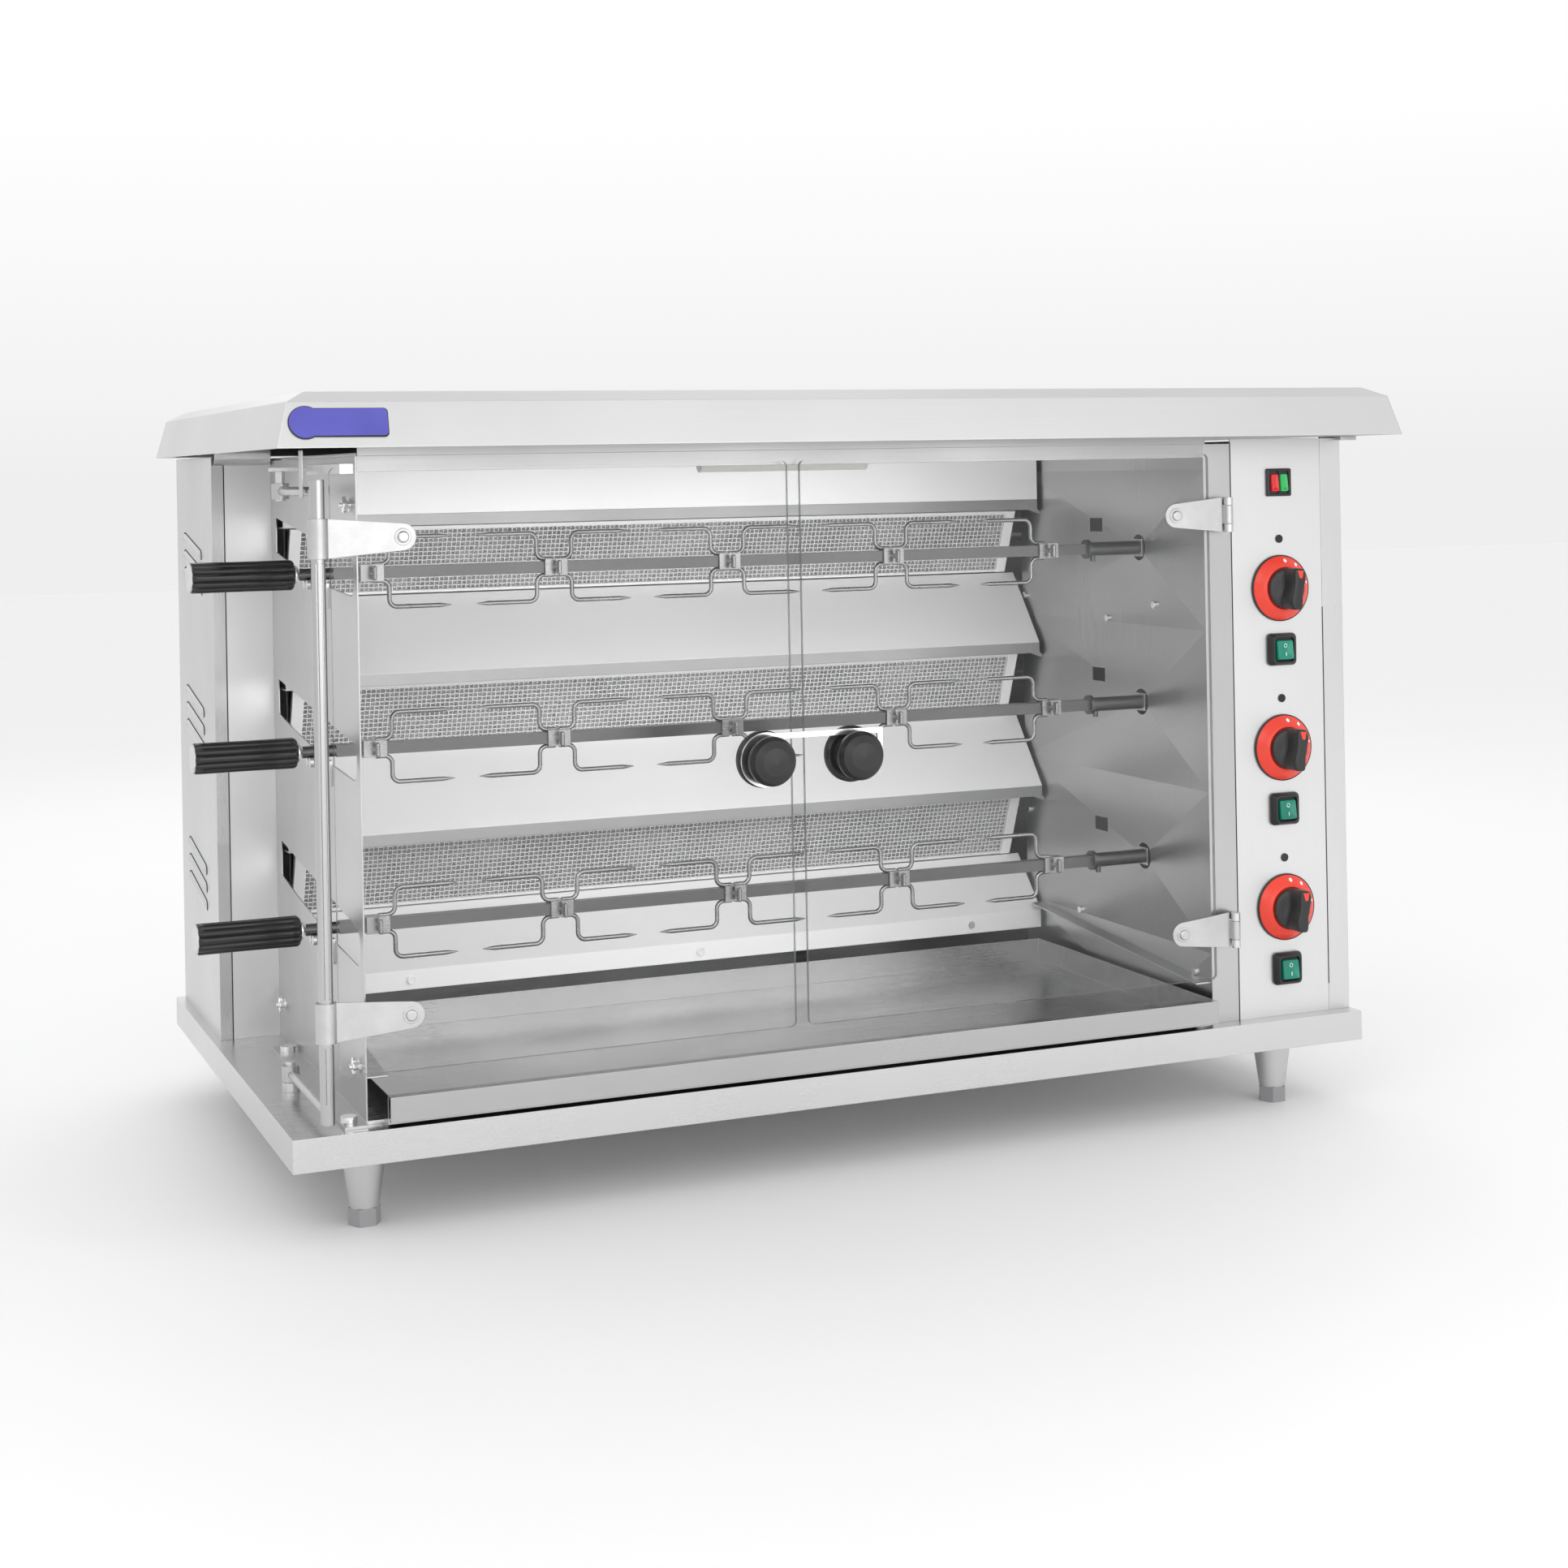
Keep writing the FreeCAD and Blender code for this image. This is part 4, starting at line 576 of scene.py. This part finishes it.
def boots():
    """Rubber boots with canted sides round the rockers, and the twin rocker's frame."""
    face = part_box("control_panel")[0].y
    seated, housing_depth = 0.3, 26
    boot = Piece()

    def ring(x, z, half_x, half_z, depth, radius):
        return [Vector((x + px * MM, face - depth * MM, z + pz * MM))
                for px, pz in rounded(-half_x, half_x, -half_z, half_z, radius)]

    def housing(x, z, half_x, half_z):
        """The switch's own box behind the panel."""
        boot.block(Vector((x - half_x * MM, face + seated * MM, z - half_z * MM)),
                   Vector((x + half_x * MM, face + housing_depth * MM, z + half_z * MM)), 1 * MM)

    for tier in TIERS:
        cap = middle_of(f"rocker_{tier}")
        x, z = cap.x, cap.z
        boot.loft([
            ring(x, z, 16.5, 16.0, -0.4, 4), ring(x, z, 18.2, 17.4, 0.6, 5), ring(x, z, 18.5, 18.0, 2.2, 5),
            ring(x, z, 18.3, 17.8, 3.4, 5), ring(x, z, 15.4, 16.2, 7.6, 4.5), ring(x, z, 14.6, 15.4, 8.8, 4),
            ring(x, z, 13.2, 14.2, 9.0, 3.5), ring(x, z, 12.2, 13.2, 8.4, 3),
            ring(x, z, 11.6, 12.8, 5.0, 2.5),
        ])
        housing(x, z, 13, 14)
    light = middle_of("rocker_light")
    heat = middle_of("rocker_heat")
    x, z = (light.x + heat.x) / 2, light.z
    boot.loft([
        ring(x, z, 15.6, 15.1, -0.3, 1.5), ring(x, z, 16.0, 15.5, 0.6, 1.6), ring(x, z, 15.8, 15.3, 2.6, 1.6),
        ring(x, z, 15.0, 14.6, 3.0, 1.4), ring(x, z, 12.4, 12.9, 2.9, 0.8), ring(x, z, 12.0, 12.5, 1.2, 0.8),
    ])
    housing(x, z, 12.5, 13)
    bar_half, bar_tall, bar_front, bar_back = 0.5 * MM, 12.8 * MM, 2.9 * MM, 1 * MM
    boot.block(Vector((x - bar_half, face - bar_front, z - bar_tall)),
               Vector((x + bar_half, face + bar_back, z + bar_tall)))
    boot.make("switch_boots", "root", "switch_black", ["switch_frames"], angle=35)


def rocker_cap(name, body, slot, sweep, marked):
    """A lens cap with a shallow valley across it, tipped as its CAD solid is. Marks are a ring and a bar."""
    low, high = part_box(name)
    x = (low.x + high.x) / 2
    z = (low.z + high.z) / 2
    half_x = (high.x - low.x) / 2 / MM
    tip = math.radians(7)
    end_margin, front_margin, depth_margin = 1.2, 1.4, 2.4
    half_z = (high.z - low.z) / 2 / MM - end_margin
    front = low.y + front_margin * MM
    depth = (high.y - low.y) / MM - depth_margin

    def ring(inset, back, dish=0.0):
        points = []
        corner = min(2.0, 0.8 * (half_x - inset))
        for px, pz in rounded(-half_x + inset, half_x - inset, -half_z + inset, half_z - inset, corner):
            sink = back + dish * (1 - (pz / half_z) ** 2)
            points.append(Vector((x + px * MM, front + (sink * math.cos(tip) + pz * math.sin(tip)) * MM,
                                  z + (pz * math.cos(tip) - sink * math.sin(tip)) * MM)))
        return points

    cap = Piece()
    cap.loft([ring(0.0, depth), ring(0.0, 1.8), ring(0.3, 0.7), ring(1.0, 0.1), ring(2.0, 0.25, sweep * 0.3),
              ring(3.2, 0.5, sweep), ring(min(half_x, half_z) - end_margin, 0.6, sweep)])
    cap.make(f"{name}_cap", body, slot, [name], angle=40)
    if marked:
        marks = Piece()
        ring_height, bar_height, ring_radius, lifted = 4.6, -4.8, 1.9, 0.5

        def spot(height):
            """A point just proud of the valley, at a height from the cap's middle."""
            sink = 0.35 + sweep * (1 - (height / half_z) ** 2)
            return Vector((x, front + (sink * math.cos(tip) + height * math.sin(tip) - lifted) * MM,
                           z + height * MM))

        for_ring, for_bar = spot(ring_height), spot(bar_height)
        around = [(math.cos(a), math.sin(a)) for a in circle(24) + [2 * math.pi]]
        marks.tube([for_ring + Vector((u * ring_radius, 0.12 * v, v * ring_radius)) * MM for u, v in around],
                   0.42 * MM, 6)
        marks.tube([for_bar + Vector((0, 0, step)) * MM for step in (-2.0, -1.0, 0.0, 1.0, 2.0)], 0.5 * MM, 6)
        marks.make(f"{name}_marks", body, "mark_white", angle=60)


# ---------------------------------------------------------------- infrared screens

def woven_screen(tier):
    """Woven wire over a plaque, in a folded frame with plain ends."""
    low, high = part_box("burner_screens")
    order = TIERS.index(tier)
    foot = Vector((low.x, high.y - 2 * MM, low.z + order * PITCH))
    head = Vector((low.x, low.y, high.z - (2 - order) * PITCH))
    width = high.x - low.x
    slope = head - foot
    tall = slope.length
    slope.normalize()
    outward = Vector((0, -slope.z, slope.y))
    if outward.y > 0:
        outward = -outward
    across = Vector((1, 0, 0))
    cell, wire, amplitude, looseness = 5.4 * MM, 0.62 * MM, 0.9, 0.6
    end, margin = 13 * MM, 3
    columns = int((width - 2 * end) / cell)
    rows = int((tall - 2 * margin * MM) / cell)
    weave = Piece()
    base = foot + across * end + slope * margin * MM + outward * 0.8 * MM
    chooser = random.Random(41 + order)
    jitter = [chooser.uniform(-0.5, 0.5) * MM for _ in range(columns + rows + 2)]

    def wave(half_cells, crossing):
        """1 or -1: the side of the weave that a wire is on at one of its half cells."""
        angle = math.pi * (half_cells / 2 + crossing)
        return math.sin(angle) if half_cells % 2 else math.cos(angle)

    for column in range(columns + 1):
        weave.tube([base + across * (column * cell + jitter[column] * looseness)
                    + slope * (row * cell / 2) + outward * wave(row, column) * wire * amplitude
                    for row in range(rows * 2 + 1)], wire, 5)
    for row in range(rows + 1):
        weave.tube([base + across * (column * cell / 2) - outward * wave(column, row) * wire * amplitude
                    + slope * (row * cell + jitter[columns + row + 1] * looseness)
                    for column in range(columns * 2 + 1)], wire, 5)
    weave.make(f"screen_wires_{tier}", "root", "wire_screen", angle=80)
    frame_back, frame_thick, plaque_back, plaque_thick = 2.2 * MM, 4.4 * MM, 3.2 * MM, 4 * MM
    lip_back, lip_thick, lower_lip, upper_lip = 2.0 * MM, 3.4 * MM, 3.6 * MM, 4.2 * MM

    def plate(piece, corner, run, rise, thickness, direction):
        beside = corner + across * run
        piece.slab([corner, beside, beside + slope * rise, corner + slope * rise], direction, thickness)

    plaque = Piece()
    plate(plaque, foot - outward * plaque_back, width, tall, plaque_thick, -outward)
    plaque.make(f"burner_plaque_{tier}", "root", "plaque",
                ["burner_screens"] if tier == "lower" else (), angle=30)
    rim = Piece()
    for start in (0.0, width - end):
        plate(rim, foot + across * start - outward * frame_back, end, tall, frame_thick, outward)
    for start, rise in ((0.0, lower_lip), (tall - upper_lip, upper_lip)):
        plate(rim, foot + across * end + slope * start - outward * lip_back, width - 2 * end, rise,
              lip_thick, outward)
    rim.make(f"screen_frame_{tier}", "root", "bright_steel", angle=30, bevel=0.5)


# ---------------------------------------------------------------- small pressings and fasteners

def badge_rim():
    """A dark backing plate that shows as a thin border below and left of the blank badge."""
    low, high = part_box("badge_plate")
    thick = 2.0 * MM
    lean = math.atan2(high.y - low.y - thick, high.z - low.z)
    up = Vector((0, math.sin(lean), math.cos(lean)))
    inward = Vector((0, math.cos(lean), -math.sin(lean)))
    radius = (high.z - low.z) / math.cos(lean) / 2
    centre = Vector((low.x + radius, low.y, low.z)) + up * radius + inward * 0.7 * MM
    across = Vector((1, 0, 0))
    outline = [(math.cos(a) * radius * 1.05, math.sin(a) * radius * 1.05)
               for a in (math.radians(60 + 240 * k / 28) for k in range(29))]
    right = (high.x - low.x) - radius
    foot, head = -radius * 0.94, radius * 0.90
    round_off, overhang = 4.2 * MM, 0.8 * MM
    bend_x = right + overhang - round_off
    outline += [(bend_x + round_off * math.sin(a), foot + round_off * (1 - math.cos(a)))
                for a in (math.radians(15 * k) for k in range(7))]
    outline += [(bend_x + round_off * math.cos(a), head - round_off + round_off * math.sin(a))
                for a in (math.radians(15 * k) for k in range(7))]
    backing = Piece()
    backing.slab([centre + across * u + up * v for u, v in outline], inward, 1.2 * MM)
    backing.make("badge_backing", "root", "badge_dark", angle=40)


def louvre_hoods():
    """Pressed hoods with round ends over the left side's slots, each with a dark tube of painted shade round
    its mouth.
    """
    low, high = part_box("louvre_panel")
    lean = math.radians(9.5)
    slot_start, slot_end, slot_pitch = 3.0, 110.0, 20.0
    back_from_corner, below_spit, proud = 166.0, 12.0, 2.0
    hood_half, mouth_half = 5.6, 7.4
    along = Vector((0, math.cos(lean), math.sin(lean)))
    up = Vector((0, -math.sin(lean), math.cos(lean)))
    hoods = Piece()
    mouths = Piece()

    def stadium(start, half, angle, out):
        """A point on a slot outline with round ends, standing out from the panel."""
        centre = slot_end if math.cos(angle) > 0 else slot_start
        return (start + along * (centre + half * math.cos(angle)) * MM + up * half * math.sin(angle) * MM
                - Vector((out * MM, 0, 0)))

    for tier in TIERS:
        spit = middle_of(f"spit_handle_{tier}").z
        for step in (-1, 0, 1):
            height = spit - (below_spit - slot_pitch * step) * MM + proud * MM
            start = Vector((low.x, high.y - back_from_corner * MM, height))
            rings = []
            for inset, out in ((-1.6, -0.05), (-0.6, 0.5), (0.8, 1.7), (2.2, 2.4), (3.6, 2.7)):
                half = hood_half - inset
                ring = []
                for angle in circle(36):
                    lift = half * math.sin(angle)
                    bulge = out * (0.25 + 0.75 * min(1.0, max(0.0, (lift + half) / (1.2 * half))))
                    ring.append(stadium(start, half, angle, bulge))
                rings.append(ring)
            hoods.loft(rings)
            # A dark tube along each mouth: painted shade in the opening under the hood.
            mouths.tube([stadium(start, mouth_half, math.radians(-20 + 10 * k), 0.2) for k in range(23)],
                        0.6 * MM, 6)
    hoods.make("louvre_hoods", "root", "stainless_deep", angle=50)
    mouths.make("louvre_mouths", "root", "gap_shade", angle=60)


def star_bolts():
    """Clamping bolts with four lobes on the outside of the left wall."""
    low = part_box("wall_left")[0]
    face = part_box("corner_panel")[1].x
    lobes, lobe_depth, turn = 4, 0.28, 0.6
    bolts = Piece()

    def lobed(angle):
        return 1 + lobe_depth * math.cos(lobes * angle + turn)

    for depth, height in ((34, 52), (34, 592), (400, 40)):
        centre = Vector((face, low.y + depth * MM, low.z + height * MM))
        bolts.turned([(0.2, 6.2), (-1.0, 6.2), (-1.2, 4.0), (-3.2, 4.0)], centre, "x", 40)
        bolts.turned([(-3.0, 5.0), (-3.6, 6.6), (-6.4, 6.8), (-7.4, 5.6), (-7.8, 3.0)],
                     centre, "x", 64, lobed)
        bolts.turned([(-7.6, 2.4), (-9.6, 2.4), (-10.0, 2.0)], centre, "x", 24)
    bolts.make("star_bolts", "root", "bolt_steel", angle=35)


def hood_ends():
    """Folded triangular ears at the right end of each hood strip, against the wall."""
    low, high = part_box("burner_hoods")
    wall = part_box("wall_right")[0].x
    sheet, gap = 0.9 * MM, 0.4 * MM
    start_x, end_x, y = high.x - 14 * MM, wall - gap, low.y - gap
    folded = Vector((0, 22 * MM, -2 * MM))
    ears = Piece()
    for index in range(3):
        top = high.z - (2 - index) * PITCH
        outline = [Vector((start_x, y, top - 1 * MM)), Vector((end_x, y, top - 15 * MM)),
                   Vector((end_x, y, top - 19 * MM)), Vector((start_x, y, top - 12.6 * MM))]
        ears.slab(outline, (0, 1, 0), sheet)
        ears.slab([point + Vector((0, 0.2 * MM, 0)) for point in outline[:2]]
                  + [outline[1] + folded, outline[0] + folded], (0, 0, -1), sheet)
    ears.make("hood_ears", "root", "hood_steel", angle=30)


def roof_brackets():
    """Curved lip over the corner panel, strap tab at the right end and the hanging strip at the left."""
    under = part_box("roof_canopy")[0].z
    corner_low, corner_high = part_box("corner_panel")
    left, right = corner_low.x - 12 * MM, corner_high.x - 2 * MM
    sheet_y, sheet_z = 0.9 * MM, 0.4 * MM
    lip = Piece()
    rings = []
    for k in range(13):
        angle = math.radians(-20 + 140 * k / 12)
        y = corner_low.y - (3 + 11 * math.cos(angle)) * MM
        z = under + (2 - 14 * math.sin(angle)) * MM
        rings.append([Vector((left, y, z)), Vector((right, y, z)),
                      Vector((right, y + sheet_y, z + sheet_z)), Vector((left, y + sheet_y, z + sheet_z))])
    lip.loft(rings)
    lip.make("roof_corner_lip", "root", "stainless_level", angle=40)
    cabinet_low, cabinet_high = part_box("cabinet_side")
    tabs_top = under - 0.5 * MM
    tab = Piece()
    tab.block(Vector((cabinet_high.x - 8 * MM, cabinet_low.y - 14 * MM, under - 5 * MM)),
              Vector((cabinet_high.x + 14 * MM, cabinet_low.y + 30 * MM, tabs_top)), 2 * MM)
    wall_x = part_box("wall_left")[0].x
    header_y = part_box("header_rail")[0].y
    tab.block(Vector((wall_x - 24 * MM, header_y + 26 * MM, under - 46 * MM)),
              Vector((wall_x - 22.4 * MM, header_y + 40 * MM, tabs_top)), 0.4 * MM)
    tab.make("roof_tabs", "root", "satin", angle=30, bevel=0.4)


def sheet_seams():
    """Narrow dark strips of painted shade, standing for the gaps where the control panel and the louvred side
    meet their neighbours.
    """
    panel_low, panel_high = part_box("control_panel")
    side_low, side_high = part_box("louvre_panel")
    half_width, beside, proud, sunk, short = 0.6 * MM, 0.2 * MM, 0.25 * MM, 0.4 * MM, 4 * MM
    panel_right_foot, panel_right_head = panel_low.z + 30 * MM, panel_high.z - 190 * MM
    seams = Piece()
    for x, y, foot, head in ((panel_low.x - beside, panel_low.y, panel_low.z, panel_high.z - short),
                             (panel_high.x + beside, panel_low.y, panel_right_foot, panel_right_head),
                             (side_high.x + beside, side_low.y, side_low.z, side_high.z - short)):
        seams.block(Vector((x - half_width, y - proud, foot)), Vector((x + half_width, y + sunk, head)))
    seams.make("sheet_seams", "root", "gap_shade", angle=30)


def cover_screws():
    """Domed screws round the rear cover and along the plain right side."""
    rear_low, rear_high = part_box("rear_cover")
    side_low, side_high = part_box("cabinet_side")
    inset, top_inset, end_inset = 12 * MM, 14 * MM, 16 * MM
    dome = [(-0.2, 4.2), (0.6, 4.2), (1.5, 3.6), (2.2, 2.6), (2.5, 1.6), (1.7, 1.2), (1.7, 0.5)]
    columns = 7
    rear_run = rear_high.x - rear_low.x - 2 * inset
    spots = [(rear_low.x + inset + rear_run * k / (columns - 1), z)
             for k in range(columns) for z in (rear_low.z + inset, rear_high.z - top_inset)]
    spots += [(x, rear_low.z + (rear_high.z - rear_low.z) * share)
              for share in (0.30, 0.5, 0.70) for x in (rear_low.x + inset, rear_high.x - inset)]
    screws = Piece()
    for x, z in spots:
        screws.turned(dome, Vector((x, rear_high.y, z)), "y", 24)
    for y in (side_low.y + end_inset, (side_low.y + side_high.y) / 2, side_high.y - end_inset):
        for z in (side_low.z + inset, side_high.z - top_inset):
            screws.turned(dome, Vector((side_high.x, y, z)), "x", 24)
    screws.make("cover_screws", "root", "bolt_steel", angle=40)


badge_rim()
sheet_seams()
cover_screws()
louvre_hoods()
star_bolts()
hood_ends()
roof_brackets()
for tier in TIERS:
    handle(tier)
    control_knob(tier)
    woven_screen(tier)
    rocker_cap(f"rocker_{tier}", f"switch_{tier}", "rocker_green", 1.0, True)
rocker_cap("rocker_light", "switch_light", "rocker_red", 0.9, False)
rocker_cap("rocker_heat", "switch_heat", "rocker_green_bright", 0.9, False)
bezels()
boots()


# ---------------------------------------------------------------- floor, light and camera

def stage():
    finish = Finish("studio_floor", rough=0.55)
    speckle = finish.noise((2, 2, 2), detail=4)
    finish.paint(finish.blended(speckle, grey(0.92), grey(0.94)))
    mesh = bpy.data.meshes.new("studio_floor")
    reach = 14.0
    mesh.from_pydata([(-reach, -reach, 0), (reach, -reach, 0), (reach, reach, 0), (-reach, reach, 0)],
                     [], [(0, 1, 2, 3)])
    mesh.materials.append(finish.material)
    floor = bpy.data.objects.new("studio_floor", mesh)
    bpy.context.scene.collection.objects.link(floor)


def soft_light(name, place, aim, size, power, seen=True):
    data = bpy.data.lights.new(name, "AREA")
    data.shape = "RECTANGLE"
    data.size, data.size_y = size
    data.energy = power
    obj = bpy.data.objects.new(name, data)
    obj.location = place
    obj.rotation_euler = (Vector(aim) - Vector(place)).to_track_quat("-Z", "Y").to_euler()
    obj.visible_camera = seen
    obj.visible_glossy = seen
    bpy.context.scene.collection.objects.link(obj)


def sky():
    world = bpy.data.worlds.new("studio_sky")
    bpy.context.scene.world = world
    world.use_nodes = True
    nodes, links = world.node_tree.nodes, world.node_tree.links
    nodes.clear()
    out = nodes.new("ShaderNodeOutputWorld")
    shell = nodes.new("ShaderNodeBackground")
    shell.inputs["Strength"].default_value = 0.97
    coords = nodes.new("ShaderNodeTexCoord")
    parts = nodes.new("ShaderNodeSeparateXYZ")
    ramp = nodes.new("ShaderNodeValToRGB")
    band = nodes.new("ShaderNodeMapRange")
    band.inputs["From Min"].default_value = -1.0
    links.new(coords.outputs["Generated"], parts.inputs["Vector"])
    links.new(parts.outputs["Z"], band.inputs["Value"])
    links.new(band.outputs["Result"], ramp.inputs["Fac"])
    ramp.color_ramp.elements[0].position = 0.40
    ramp.color_ramp.elements[0].color = (0.90, 0.90, 0.91, 1)
    ramp.color_ramp.elements[1].position = 1.0
    ramp.color_ramp.elements[1].color = (0.88, 0.88, 0.89, 1)
    for height, level in ((0.50, 0.89), (0.57, 1.03), (0.70, 1.03)):
        band_stop = ramp.color_ramp.elements.new(height)
        band_stop.color = (level, level, level, 1)
    links.new(ramp.outputs["Color"], shell.inputs["Color"])
    links.new(shell.outputs["Background"], out.inputs["Surface"])


def camera():
    data = bpy.data.cameras.new("photo_camera")
    data.sensor_width = 36.0
    data.lens = 55.98
    data.shift_y = -0.1992
    data.clip_end = 60.0
    obj = bpy.data.objects.new("photo_camera", data)
    obj.location = (-1.0248, -2.6101, 0.7208)
    obj.rotation_euler = (math.radians(90), math.radians(1.02), math.radians(-22.63))
    bpy.context.scene.collection.objects.link(obj)
    bpy.context.scene.camera = obj


stage()
sky()
soft_light("key_left", (-2.6, -2.4, 2.6), (0, 0, 0.4), (2.4, 2.0), 22)
soft_light("chamber_fill", (0.3, -2.7, 0.9), (0.0, 0, 0.42), (2.6, 1.4), 14)
soft_light("back_rim", (0.6, 2.6, 2.4), (0, 0, 0.6), (2.4, 1.4), 12)
soft_light("panel_key", (2.4, -2.3, 1.5), (0.53, -0.3, 0.45), (0.5, 0.5), 9, seen=False)
lamp = middle_of("chamber_lamp")
soft_light("chamber_glow", (lamp.x, -0.26, 0.45), (lamp.x, 0.1, 0.42), (0.86, 0.5), 1.9, seen=False)
camera()
bpy.context.scene.view_settings.view_transform = "Standard"
